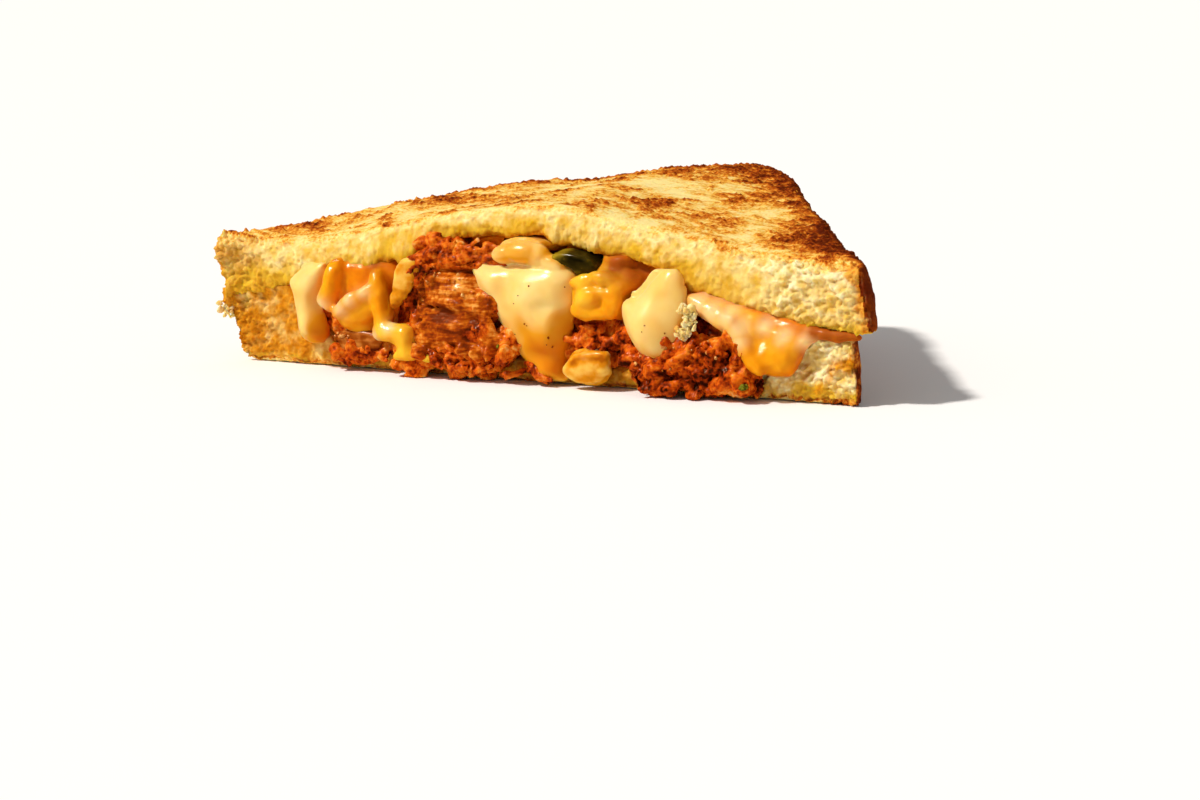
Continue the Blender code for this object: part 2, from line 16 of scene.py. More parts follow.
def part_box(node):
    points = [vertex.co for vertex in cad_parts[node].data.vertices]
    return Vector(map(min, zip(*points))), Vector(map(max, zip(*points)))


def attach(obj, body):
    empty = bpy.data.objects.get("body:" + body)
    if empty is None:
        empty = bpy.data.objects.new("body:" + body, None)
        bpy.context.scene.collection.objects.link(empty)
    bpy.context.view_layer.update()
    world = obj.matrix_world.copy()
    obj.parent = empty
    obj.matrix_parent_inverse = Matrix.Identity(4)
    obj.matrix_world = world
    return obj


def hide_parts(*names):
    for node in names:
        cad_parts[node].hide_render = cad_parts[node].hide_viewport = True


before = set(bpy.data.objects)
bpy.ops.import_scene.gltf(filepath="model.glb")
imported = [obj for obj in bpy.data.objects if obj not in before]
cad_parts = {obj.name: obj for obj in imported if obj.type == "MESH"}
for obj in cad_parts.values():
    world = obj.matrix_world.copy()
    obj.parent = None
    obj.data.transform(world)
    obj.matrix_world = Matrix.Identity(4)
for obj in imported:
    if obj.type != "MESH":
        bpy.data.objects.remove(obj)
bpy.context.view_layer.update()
bpy.ops.object.select_all(action="DESELECT")
print("solids:", ", ".join(sorted(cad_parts)))

# %% [markdown]
# The sandwich is measured the way a cook sees it: x runs along the cut, y goes back from the cut
# face and z is up from the toasted base, all in millimetres. The cut face and the left tip are
# found on the solids, so the measures stay true if the solids move.

# %% Measure from the cut
MM = 0.001
LEFT_TIP_X = -79.6
CUT_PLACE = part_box("bread_top")[0].y
TIP_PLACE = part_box("bread_top")[0].x
ZERO = Vector((TIP_PLACE - LEFT_TIP_X * MM, CUT_PLACE, 0.0))


def spot(x, y, z):
    """A point of the sandwich, from millimetres along the cut, behind it and above the base."""
    return ZERO + Vector((x, y, z)) * MM


def measured(points):
    """Points in metres as millimetres in the sandwich's own measures."""
    return (np.asarray(points) - np.array(ZERO)) / MM


print("cut face at y = %.1f mm" % (CUT_PLACE / MM))

# %% [markdown]
# ## Camera
# The picture is taken with a long lens, a little above the floor and from the right of the cut.
# A long lens keeps the near and far ends of the sandwich at nearly the same scale.

# %% Camera
CAMERA_PLACE = (317.1, -493.1, 96.0)
AZIMUTH, ELEVATION, ROLL = 31.28, 9.69, -1.25
LENS, SENSOR = 87.0, 36.0

bpy.ops.object.camera_add(location=spot(*CAMERA_PLACE))
camera = bpy.context.object
turn = Euler((math.radians(90.0 - ELEVATION), 0.0, math.radians(AZIMUTH))).to_matrix()
camera.rotation_euler = (turn @ Matrix.Rotation(math.radians(ROLL), 3, "Z")).to_euler()
camera.data.lens = LENS
camera.data.sensor_width = SENSOR
camera.data.clip_start = 0.01
bpy.context.scene.camera = camera
print("camera %.0f mm from the cut" % ((camera.location - spot(0, 0, 15)).length / MM))

# %% [markdown]
# ## Light
# Food is lit with one strong warm lamp from the left and slightly in front, so that every crumb
# and drip throws a small shadow, and with a pale room that fills the shadows. A window beside the
# lamp lights nothing by itself and only shows as the broad highlights on wet sauce and cheese. The
# floor is a wide sheet of matte white card. The room and the card aren't mirrored in wet
# skins, which keeps their colours deep.

# %% Light and floor
KEY_FROM = Vector((-0.48, -0.55, 0.86))
KEY_LIGHT, KEY_ANGLE, KEY_COLOUR = 3.1, 5.0, (1.0, 0.95, 0.88)
WINDOW_PLACE, WINDOW_AIM, WINDOW_SIZE = (-240, -330, 430), (0, 0, 15), 200
WINDOW_LIGHT, ROOM_LIGHT, DAY_COLOUR = 3.0, 0.34, (1.0, 0.98, 0.95)
FLOOR_SIZE, FLOOR_DROP = 24.0, 0.2

bpy.ops.object.light_add(type="SUN")
key = bpy.context.object
key.name = "key_lamp"
key.rotation_euler = KEY_FROM.to_track_quat("Z", "Y").to_euler()
key.data.energy = KEY_LIGHT
key.data.angle = math.radians(KEY_ANGLE)
key.data.color = KEY_COLOUR

bpy.ops.object.light_add(type="AREA", location=spot(*WINDOW_PLACE))
window = bpy.context.object
window.name = "window"
window.rotation_euler = (spot(*WINDOW_AIM) - window.location).to_track_quat("-Z", "Y").to_euler()
window.data.size = WINDOW_SIZE * MM
window.data.energy = WINDOW_LIGHT
window.data.color = DAY_COLOUR
window.visible_diffuse = False

bpy.ops.mesh.primitive_plane_add(size=FLOOR_SIZE, location=(0.0, 0.0, -FLOOR_DROP * MM))
floor = bpy.context.object
floor.name = "white_card_floor"
floor.visible_glossy = False

world = bpy.data.worlds.new("pale_room")
world.use_nodes = True
room = world.node_tree.nodes["Background"].inputs
room["Color"].default_value = (*DAY_COLOUR, 1.0)
room["Strength"].default_value = ROOM_LIGHT
world.cycles_visibility.glossy = False
bpy.context.scene.world = world
bpy.context.scene.view_settings.view_transform = "Standard"

# %% [markdown]
# ## Tools used over and over
# A few helpers keep the steps short. A colour is written as it is seen on a screen and turned to
# the linear numbers that a shader needs. One function adds a shader node with its settings and
# its links, and a new material comes with that function, ready to add nodes to it.

# %% Helpers for colour and shader nodes


def hue(code):
    """A screen colour such as #f0b860 as the linear colour of a shader."""
    shares = [int(code[k:k + 2], 16) / 255.0 for k in (1, 3, 5)]
    return (*[s / 12.92 if s <= 0.04045 else ((s + 0.055) / 1.055) ** 2.4 for s in shares], 1.0)


def fill(node, inputs):
    """Gives a node's inputs a value each, or a link from another node's output."""
    for name, value in inputs.items():
        if isinstance(value, bpy.types.NodeSocket):
            node.id_data.links.new(value, node.inputs[name])
        else:
            node.inputs[name].default_value = value


def add(tree, kind, inputs=None, stops=(), out=0, **settings):
    """Adds a node with its settings, inputs and a ramp's stops, and returns one of its outputs."""
    node = tree.nodes.new("ShaderNode" + kind)
    for name, value in settings.items():
        setattr(node, name, value)
    fill(node, inputs or {})
    for k, (place, code) in enumerate(stops):
        element = node.color_ramp.elements[k] if k < 2 else node.color_ramp.elements.new(place)
        element.position = place
        element.color = hue(code)
    return node.outputs[out]


def grains(place, size, detail=3.0):
    """The inputs of a noise whose features are this many millimetres wide."""
    return {"Vector": place, "Scale": 1.0 / (size * MM), "Detail": detail}


def layered(node, colour, *layers):
    """Lays colours over the first, each as far as the number stored at the points under its name."""
    for name, layer in layers:
        share = node("Attribute", attribute_name=name, out="Fac")
        colour = node("Mix", {0: share, 6: colour, 7: layer}, data_type="RGBA", out=2)
    return colour


DRY_SHEEN = 0.06
BUTTER_TINT = "#ffcf96"


def new_material(name):
    """A material with a faint warm sheen, its shader, its own add function and object coordinates."""
    mat = bpy.data.materials.new(name)
    mat.use_nodes = True
    shader = mat.node_tree.nodes["Principled BSDF"]
    fill(shader, {"Specular IOR Level": DRY_SHEEN, "Specular Tint": hue(BUTTER_TINT)})
    node = partial(add, mat.node_tree)
    return mat, shader, node, node("TexCoord", out="Object")


# %% Select, apply and edit


def select_only(*objects):
    """Deselects everything else and makes the first of these the active object."""
    bpy.ops.object.select_all(action="DESELECT")
    for obj in objects:
        obj.select_set(True)
    bpy.context.view_layer.objects.active = objects[0]


def apply_modifier(obj, kind, **settings):
    """Adds a modifier with these settings and applies it."""
    modifier = obj.modifiers.new(kind.lower(), kind)
    for name, value in settings.items():
        setattr(modifier, name, value)
    select_only(obj)
    bpy.ops.object.modifier_apply(modifier=modifier.name)


def edit(obj, work, chosen=None, parts="vertices"):
    """Does some work in edit mode, on the whole mesh or on the chosen points or faces of it."""
    select_only(obj)
    bpy.ops.object.mode_set(mode="EDIT")
    bpy.ops.mesh.select_all(action="SELECT" if chosen is None else "DESELECT")
    if chosen is not None:
        bpy.ops.object.mode_set(mode="OBJECT")
        getattr(obj.data, parts).foreach_set("select", chosen)
        bpy.ops.object.mode_set(mode="EDIT")
    work()
    bpy.ops.object.mode_set(mode="OBJECT")


def delete_points(obj, chosen):
    """Deletes the chosen points and the squares that they carry."""
    edit(obj, lambda: bpy.ops.mesh.delete(type="VERT"), chosen)


def copy_of_solid(node, name):
    """A merged copy of one solid, ready to be dressed."""
    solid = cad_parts[node]
    obj = bpy.data.objects.new(name, solid.data.copy())
    bpy.context.scene.collection.objects.link(obj)
    edit(obj, lambda: bpy.ops.mesh.remove_doubles(threshold=0.01 * MM))
    obj.data.materials.clear()
    return obj


# %% Melt shapes into one skin
LEAST_POINTS = 130


def drop_bits(obj):
    """Deletes the loose bits that a remesh leaves beside a piece."""
    ends = np.empty(2 * len(obj.data.edges), np.int64)
    obj.data.edges.foreach_get("vertices", ends)
    starts, stops = ends.reshape(-1, 2).T
    label = np.arange(len(obj.data.vertices))
    before = label + 1
    while (label != before).any():
        before = label.copy()
        np.minimum.at(label, starts, before[stops])
        np.minimum.at(label, stops, before[starts])
        label = label[label]
    loose = np.bincount(label, minlength=len(label))[label] < LEAST_POINTS
    if loose.any():
        delete_points(obj, loose)


def melt(obj, voxel, smoothing):
    """Runs everything in the object together into one even skin of small squares."""
    apply_modifier(obj, "REMESH", mode="VOXEL", voxel_size=voxel * MM)
    drop_bits(obj)
    if smoothing:
        apply_modifier(obj, "SMOOTH", factor=0.5, iterations=smoothing)


# %% Points out of a mesh and back


def read_mesh(obj):
    """The points in the sandwich's measures, and the normals, as two arrays."""
    count = len(obj.data.vertices)
    points, normals = np.empty(count * 3), np.empty(count * 3)
    obj.data.vertices.foreach_get("co", points)
    obj.data.vertex_normals.foreach_get("vector", normals)
    return measured(points.reshape(-1, 3)), normals.reshape(-1, 3)


def move_points(obj, points):
    """Puts the points, in the sandwich's measures, back into the mesh."""
    metres = points * MM + np.array(ZERO)
    obj.data.vertices.foreach_set("co", metres.ravel())
    obj.data.update()


def store(obj, name, values):
    """Keeps one number for each point, which a material can read by this name."""
    layer = obj.data.attributes.new(name, "FLOAT", "POINT")
    layer.data.foreach_set("value", np.clip(values, 0.0, 1.0).astype(np.float32))


# %% [markdown]
# Food is uneven at every size, from broad bulges to grains. One smooth noise gives all of that: it
# is worked out from a point's own place, so that pieces which touch are uneven in the same way.

# %% Smooth steps and noise


def ease(start, end, values):
    """0 before start, 1 after end and smooth between them, for one number or an array."""
    t = np.clip((np.asarray(values, float) - start) / (end - start), 0.0, 1.0)
    return t * t * (3.0 - 2.0 * t)


def hill(u, v, place_u, place_v, reach_u, reach_v):
    """1 at the place and falling off smoothly on all sides, over about these reaches."""
    return np.exp(-((u - place_u) / reach_u) ** 2 - ((v - place_v) / reach_v) ** 2)


def scramble(cells, seed=0):
    """A number from 0 to 1 for each cell of a grid of cubes, always the same for the same cell."""
    n = cells.astype(np.int64).astype(np.uint32)
    mix = n[..., 0] * np.uint32(73856093) ^ n[..., 1] * np.uint32(19349663)
    mix ^= n[..., 2] * np.uint32(83492791) ^ np.uint32(40503 * seed + 977)
    for shift, factor in ((15, 2246822519), (13, 3266489917), (16, 1)):
        mix = (mix ^ (mix >> np.uint32(shift))) * np.uint32(factor)
    return mix / 4294967295.0


TURN = np.array(Euler((0.7, 0.5, 0.9)).to_matrix())


def unevenness(points, size, octaves=3, stretch=(1.0, 1.0, 1.0), seed=0):
    """Smooth noise from -1 to 1 at each point, with lumps of about this size in millimetres."""
    places = (points / (np.array(stretch) * size)) @ TURN
    total, weight = np.zeros(len(points)), 0.9
    for octave in range(octaves):
        cell = np.floor(places)
        t = places - cell
        t = t * t * (3.0 - 2.0 * t)
        for corner in np.ndindex(2, 2, 2):
            share = np.prod(np.where(np.array(corner) > 0, t, 1.0 - t), axis=1)
            total += weight * share * (2.0 * scramble(cell + corner, 7 * seed + octave) - 1.0)
        places = (places @ TURN) * 2.03 + 31.7
        weight *= 0.57
    return total


print("noise at the middle of the cut: %.2f" % unevenness(np.zeros((1, 3)), 5.0)[0])

# %% Hand a piece over


def finish_piece(obj, name, material, slot, *nodes):
    """Names the piece, rests it on the floor and lets it ride there in place of its solids."""
    points, _ = read_mesh(obj)
    points[:, 2] = np.maximum(points[:, 2], 0.0)
    move_points(obj, points)
    obj.name = name
    obj.data.name = name
    obj.data.materials.clear()
    obj.data.materials.append(material)
    select_only(obj)
    bpy.ops.object.shade_smooth()
    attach(obj, "root")
    if nodes:
        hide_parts(*nodes)
    triangles = sum(len(face.vertices) - 2 for face in obj.data.polygons)
    print("%-18s %7d triangles" % (name, triangles))


# %% [markdown]
# ## Floor finish
# Matte white card: a little grey in its shadows, no shine that would draw the eye.

# %% White card
WHITE = hue("#ffffff")
card, shader, node, place = new_material("matte_white_card")
fill(shader, {"Base Color": WHITE, "Roughness": 0.9, "Specular IOR Level": 0.1, "Specular Tint": WHITE})
floor.data.materials.append(card)
print("floor:", card.name)

# %% [markdown]
# ## Bread
# White tin-loaf bread, buttered and toasted on a hot plate. The cut shows an open crumb: small
# bubbles with thin cream walls, yellow where butter soaked in and brown where the sauce did. A
# slice is a copy of its solid, remeshed into small squares. The squares that the eye meets first,
# on the cut and the toasted top, are divided again, and the bubbles are pressed into them point by
# point. Bubbles in the mesh catch the light from any side, which a painted pattern can't do.

# %% Bubbles
SLICE_VOXEL = 0.86
ROUNDING = 5
CRUMB_DEPTH, PORE_SHADE = 0.8, 0.75


def bubbles(points, size, squash, share, seed):
    """How deep each point lies in a bubble: 0 outside, 1 in its middle. Not every cell holds one."""
    bend = np.stack([unevenness(points, size, 2, seed=seed + k) for k in (3, 5, 7)], axis=1)
    places = points / (size * np.array(squash)) + 0.4 * bend
    home = np.floor(places)
    depth = np.zeros(len(points))
    for step in np.ndindex(3, 3, 3):
        cell = home + np.array(step) - 1.0
        shift = np.stack([scramble(cell, seed + k) for k in (1, 2, 3)], axis=1)
        radius = 0.35 + 0.5 * scramble(cell, seed + 4)
        away = np.linalg.norm(places - cell - shift, axis=1)
        present = scramble(cell, seed + 5) < share
        depth = np.maximum(depth, present * np.sqrt(np.clip(1.0 - (away / radius) ** 2, 0.0, 1.0)))
    return depth


# %% Where a point lies on a slice


def faces_of_slice(points, normals):
    """Shares of each point that belong to the cut, the top, the underside and the crust."""
    cut = ease(0.3, 0.7, -normals[:, 1]) * ease(6.0, 3.0, points[:, 1])
    up = ease(0.45, 0.75, normals[:, 2])
    down = ease(0.45, 0.75, -normals[:, 2])
    crust = np.clip(1.0 - cut - up - down, 0.0, 1.0)
    return cut, up, down, crust


def distance_to(points, chosen):
    """Millimetres from each point to the nearest of the chosen ones."""
    picks = np.flatnonzero(chosen)[::5]
    tree = kdtree.KDTree(len(picks))
    for k in picks:
        tree.insert(Vector(points[k]), int(k))
    tree.balance()
    return np.array([tree.find(Vector(p))[2] for p in points])


STEPS, STEP = 82, 2.0


def share_of_height(points, cut):
    """On the cut, 0 at the slice's lower edge and 1 at its upper one, for every point at that x."""
    bins = np.clip(((points[:, 0] + STEPS) / STEP).astype(int), 0, STEPS - 1)
    low, high = np.full(STEPS, 1e3), np.full(STEPS, -1e3)
    on_cut = cut > 0.5
    np.minimum.at(low, bins[on_cut], points[on_cut, 2])
    np.maximum.at(high, bins[on_cut], points[on_cut, 2])
    span = np.maximum(high - low, 0.5)
    return (points[:, 2] - low[bins]) / span[bins]


def divide(obj, wanted, cuts):
    """Divides the squares that are wanted, judged by their middles and normals."""
    count = len(obj.data.polygons)
    centres, facing = np.empty(count * 3), np.empty(count * 3)
    obj.data.polygons.foreach_get("center", centres)
    obj.data.polygons.foreach_get("normal", facing)
    chosen = wanted(measured(centres.reshape(-1, 3)), facing.reshape(-1, 3))
    edit(obj, lambda: bpy.ops.mesh.subdivide(number_cuts=cuts, smoothness=0.0), chosen, "polygons")


# %% [markdown]
# Several things are worked out for each point of a slice. How torn the crumb is: most at the two
# tips, where the knife dragged. How brown it toasted: most at the rim, least along the cut, where
# the slice curves off the hot plate, and between them a net of fine streaks where the crumb touched
# the plate. How much butter and how much sauce soaked into it. Where the upper slice is soaked its
# lower edge sags onto the filling.

# %% Browning, bubbles and sags
SAGS = (
    (-76, 0.0), (-70, 0.9), (-62, 0.7), (-56, 0.0), (-47, 0.2), (-41, 2.0), (-36, 3.8), (-29, 4.2),
    (-25, 2.8), (-18, 1.2), (-4, 1.4), (4, 0.8), (7, 2.2), (12, 1.8), (17, 2.4), (27, 0.4), (36, 0.6),
    (39, 2.4), (47, 1.6), (54, 1.5), (60, 1.2), (66, 0.2), (74, 0.0),
)
PLATE_MARKS = (
    (20, 62, 26, 10, 0.26), (25, 48, 12, 6, 0.24), (36, 36, 8, 8, 0.24), (4, 26, 9, 7, 0.24),
    (5, 5, 10, 3, 0.26), (37, 14, 8, 4, 0.26), (20, 18, 6, 4, 0.18), (57, 20, 11, 9, 0.32),
    (64, 9, 10, 5, 0.38), (-28, 4, 8, 4, 0.26), (-28, 24, 9, 8, 0.22), (-10, 8, 9, 5, 0.2),
    (-58, 14, 12, 6, 0.16), (11, 38, 7, 7, -0.4), (26, 43, 5, 3, -0.2), (42, 27, 6, 5, -0.22),
    (-46, 15, 7, 4, -0.12),
)
BUBBLE_KINDS = (
    (3.4, (1.4, 1.2, 0.7), 0.4, 0.1, 0.6, 11), (1.6, (1.4, 1.2, 0.8), 0.55, 0.42, 0.45, 21),
    (0.85, (1.2, 1.1, 0.9), 0.75, 0.46, 0.3, 31),
)


def sagged(points, height):
    """The points with the slice's lower edge sunk onto the filling, by an amount for each x."""
    x, y, _ = points.T
    sag = np.interp(x, *np.array(SAGS).T) * ease(8.0, 0.5, y) * ease(0.6, 0.05, height)
    sag *= 0.85 + 0.3 * unevenness(points, 3.0, 3, seed=5)
    return points - sag[:, None] * np.array((0.0, 0.25, 1.0))


def browned(points, to_crust, fine):
    """How brown the plate made each point: a rim, marks with ragged edges, and bare places."""
    x, y, _ = points.T
    patches = unevenness(points, 9.0, 3, seed=1)
    ragged = unevenness(points, 3.2, 4, (1.5, 1.0, 1.0), seed=2)
    rim = ease(13.0, 1.0, to_crust + 5.0 * patches) * ease(-80.0, -30.0, x)
    edge = ease(2.6, 0.4, to_crust)
    pale_front = ease(7.0, 2.5, y + 3.0 * ragged) * ease(74.0, 62.0, x)
    browning = 0.34 + 0.2 * patches + 0.24 * ragged + 0.28 * rim + 0.26 * edge - 0.12 * pale_front
    for *mark, amount in PLATE_MARKS:
        browning += amount * hill(x, y, *mark)
    return browning + 0.3 * fine * ease(0.25, 0.6, browning)


def pressed_bubbles(points, open_crumb, torn):
    """How deep bubbles of three kinds go at each point; they go deeper where the crumb is torn."""
    pore = np.zeros(len(points))
    for size, squash, share, depth, more, seed in BUBBLE_KINDS:
        depth = (depth + more * torn[open_crumb]) * bubbles(points[open_crumb], size, squash, share, seed)
        pore[open_crumb] = np.maximum(pore[open_crumb], depth)
    return pore


# %% Model the slices


def model_slice(node, name, is_top):
    """One slice with its bubbles, torn tips, pan marks and the numbers that its colours need."""
    obj = copy_of_solid(node, name)
    melt(obj, SLICE_VOXEL, ROUNDING)
    divide(obj, lambda middle, facing: (facing[:, 1] < -0.3) & (middle[:, 1] < 4.0), 2)
    if is_top:
        divide(obj, lambda middle, facing: (facing[:, 2] > 0.6) & (middle[:, 1] > 1.0), 1)
    points, normals = read_mesh(obj)
    cut, up, down, crust = faces_of_slice(points, normals)
    toasted, inner = (up, down) if is_top else (down, up)
    height = share_of_height(points, cut)
    to_crust = distance_to(points, crust > 0.6)
    if is_top:
        points = sagged(points, height)
    x, _, z = points.T

    broad = unevenness(points, 9.0, 3, seed=4)
    medium = unevenness(points, 3.0, 4, seed=5)
    fine = unevenness(points, 0.9, 3, seed=6)
    right_tip = 50.0 if is_top else 44.0
    torn = ease(right_tip, right_tip + 14.0, x + 10.0 * broad) + 0.5 * ease(-60.0, -70.0, x + 6.0 * broad)
    torn = np.clip(torn + 0.35 * ease(0.2, 0.6, broad), 0.0, 1.0)
    crumb = np.clip(cut + 0.4 * inner, 0.0, 1.0)
    pore = pressed_bubbles(points, crumb > 0.02, torn)
    ragged = 1.0 - np.abs(unevenness(points, 4.2, 5, (1.4, 1.0, 1.0), seed=8)) * 2.2
    flakes = ease(0.3, 0.95, ragged) * torn
    browning = browned(points, to_crust, fine)

    shift = crumb * (-CRUMB_DEPTH * pore + 0.5 * flakes + 0.2 * medium + 0.25 * broad)
    shift += fine * (0.12 * crumb + 0.5 * torn * cut)
    shift += toasted * (0.1 * fine + 0.16 * medium + 0.45 * fine * ease(0.3, 0.6, browning))
    shift += crust * (0.3 * broad + 0.16 * medium + 0.08 * fine)
    shift += ease(-68.0, -76.0, x) * (0.7 * broad + 0.6 * medium + 0.3 * fine - 0.1)
    if not is_top:
        shift += 1.5 * inner * ease(-52.0, -60.0, x)
    move_points(obj, points + normals * shift[:, None])

    reach = to_crust + 1.6 * medium + 0.8 * broad
    rind = np.maximum(np.clip(1.5 * crust, 0.0, 1.0), cut * ease(3.4, 1.2, reach) * ease(-70.0, -58.0, x))
    dry = 0.7 * torn + flakes
    if is_top:
        butter = ease(0.74, 0.2, height + 0.22 * medium + 0.2 * broad)
        butter *= 1.0 - 0.7 * ease(38.0, 54.0, x) * ease(0.0, 0.3, height)
        sauced = ease(0.2, 0.02, height + 0.12 * medium) * ease(-66.0, -52.0, x) * ease(50.0, 40.0, x)
        sauced = np.maximum(sauced, 0.55 * ease(-64.0, -73.0, x + 6.0 * broad) * ease(-0.7, 0.3, medium))
        edge = ease(0.84, 1.0, height + 0.12 * medium)
        dry += 0.3 * ease(0.4, 0.9, height)
        cut_edge = browning - 0.08
    else:
        rind = np.where(x > 40.0, crust * ease(70.0, 60.0, x + 6.0 * medium), rind)
        butter = 0.3 + 0.9 * medium + 0.6 * ease(4.5, 1.0, z) + 0.4 * ease(0.0, 0.5, broad)
        butter *= 1.0 - 0.9 * ease(58.0, 66.0, x + 4.0 * medium) * ease(3.0, 6.0, z)
        sauced = ease(60.0, 44.0, x) * (0.88 + 0.6 * medium) * ease(0.2, 2.4, z + fine)
        sauced = np.maximum(sauced, ease(0.2, 0.7, hill(x, z, 75.0, 8.0, 2.6, 2.6) + 0.6 * medium))
        edge = ease(1.5, 0.3, z + 0.7 * medium)
        cut_edge = 0.66 + 0.5 * medium
    # Painted shade: crust that faces right, away from the lamp, is darker; the rest of its browning varies
    # at random.
    brown_and_shaded_crust = np.where(normals[:, 0] > 0.3, 0.8, 0.2) - 0.14 * ease(-54.0, -64.0, x) + 0.2 * broad
    store(obj, "crumb", np.maximum(cut * (1.0 - edge), inner))
    store(obj, "rind", rind)
    store(obj, "brown_and_shaded_crust", brown_and_shaded_crust)
    store(obj, "toast", np.where(cut > 0.5, cut_edge, browning))
    # Painted shade: the hollows of the bubbles are darker.
    store(obj, "pore", PORE_SHADE * np.clip(pore - 0.5 * flakes, 0.0, 1.0))
    store(obj, "butter", butter)
    store(obj, "sauced", sauced)
    store(obj, "dry", dry * ease(-78.0, -62.0, x))
    return obj


top_slice = model_slice("bread_top", "toasted_top", True)
base_slice = model_slice("bread_bottom", "toasted_base", False)
print("slices: %d and %d points" % (len(top_slice.data.vertices), len(base_slice.data.vertices)))

# %% [markdown]
# The colours of the bread are mixed from those numbers. The toast runs from cream through gold to
# red-brown where the sugars caught, broken up into grains by a fine noise, because only the tips of
# the crumb touch the plate. Butter makes it faintly shiny, and the crumb scatters light inside
# itself, so its shadows stay warm.

# %% Buttered toast
GRAIN, CLUMP, MOTTLE = 0.6, 1.5, 2.6


def broken_up(node, name, *noises):
    """The number stored under this name, broken up by noises, each with its weight."""
    level = node("Attribute", attribute_name=name, out="Fac")
    for pattern, weight in noises:
        level = node("Math", {0: pattern, 1: weight, 2: level}, operation="MULTIPLY_ADD")
    return node("Math", {0: level, 1: 0.5 * sum(weight for _, weight in noises)}, operation="SUBTRACT")


bread_finish, shader, node, place = new_material("buttered_toasted_white_bread")
grain = node("TexNoise", grains(place, GRAIN, 4.0))
along = node("Mapping", {"Vector": place, "Scale": (0.4, 1.0, 1.0)})
clump = node("TexNoise", grains(along, CLUMP, 5.0))
mottle = node("TexNoise", grains(place, MOTTLE, 5.0))
pan = node("ValToRGB", {"Fac": broken_up(node, "toast", (grain, 0.9), (clump, 1.0))}, (
    (0.1, "#fbdf90"), (1.0, "#581a04"), (0.3, "#f6c866"), (0.42, "#eaa63c"), (0.54, "#d98428"),
    (0.68, "#b85a12"), (0.84, "#8c3608"),
))
# The crust runs from gold to dark brown; its darkest tones, on the right side, are painted shade.
rind = node("ValToRGB", {"Fac": broken_up(node, "brown_and_shaded_crust", (mottle, 0.7), (grain, 0.4))}, (
    (0.1, "#eaa840"), (0.85, "#6a2004"), (0.3, "#d07c18"), (0.55, "#9c4406"),
))
wall, dry_wall, buttery, soaked = (node("ValToRGB", {"Fac": mottle}, stops) for stops in (
    ((0.34, "#e6b440"), (0.62, "#fde494")), ((0.34, "#f4d47c"), (0.56, "#fff2c0")),
    ((0.3, "#d29a0c"), (0.7, "#efc238")), ((0.3, "#b66608"), (0.5, "#d88a12"), (0.7, "#eeaa34")),
))
# Painted shade: a darker colour in the hollows of the bubbles.
pore_shade_colour = layered(node, hue("#deb040"), ("sauced", hue("#a05606")))
crumb = layered(node, wall, ("dry", dry_wall), ("butter", buttery), ("sauced", soaked), ("pore", pore_shade_colour))
height = node("Math", {0: grain, 1: clump}, operation="ADD")
fill(shader, {
    "Base Color": layered(node, pan, ("crumb", crumb), ("rind", rind)),
    "Roughness": node("MapRange", {0: grain, 3: 0.5, 4: 0.8}),
    "Normal": node("Bump", {"Height": height, "Strength": 0.45, "Distance": 0.25 * MM}),
    "Subsurface Weight": 0.4, "Subsurface Radius": (1.0, 0.6, 0.2), "Subsurface Scale": 1.4 * MM,
})
finish_piece(top_slice, "toasted_top", bread_finish, "toasted_bread", "bread_top")
finish_piece(base_slice, "toasted_base", bread_finish, "toasted_bread", "bread_bottom")

# %% [markdown]
# ## Creamy sauce
# A thick mayonnaise coloured with chilli. It hangs in drips with full, rounded fronts, thin edges
# and a pool where it lands. Each drip is a sheet of small squares cut to the drip's outline and
# pulled forward like a pillow. It is melted together with the hidden back of its solid and with a
# few extra lumps. Then dents are pressed into its front, where one fold of sauce slid over another.

# %% Outlines


def smooth_loop(corners, steps=5):
    """A closed curve through the corners, cut into short straight pieces."""
    a, b, c, d = (np.roll(np.array(corners, float), shift, axis=0) for shift in (1, 0, -1, -2))
    square, cube = 2 * a - 5 * b + 4 * c - d, 3 * b - a - 3 * c + d
    rows = [0.5 * (2 * b + (c - a) * t + square * t**2 + cube * t**3) for t in np.arange(steps) / steps]
    return np.stack(rows, axis=1).reshape(-1, 2)


def depth_inside(places, loop):
    """Millimetres from each place (x, z) to the loop, negative outside it."""
    start, end = loop, np.roll(loop, -1, axis=0)
    way = end - start
    gap = places[:, None, :] - start[None]
    t = np.clip((gap * way).sum(2) / np.maximum((way**2).sum(1), 1e-9), 0.0, 1.0)
    nearest = np.linalg.norm(gap - t[..., None] * way, axis=2).min(axis=1)
    above = (start[None, :, 1] > places[:, None, 1]) != (end[None, :, 1] > places[:, None, 1])
    slope = way[:, 0] / np.where(np.abs(way[:, 1]) < 1e-9, 1e-9, way[:, 1])
    crossing = start[None, :, 0] + (places[:, None, 1] - start[None, :, 1]) * slope
    inside = (above & (places[:, None, 0] < crossing)).sum(axis=1) % 2 == 1
    return np.where(inside, nearest, -nearest)


# %% Pillows, lumps and strings
SHEET_CELL, SHEET_DEPTH = 0.5, 0.3


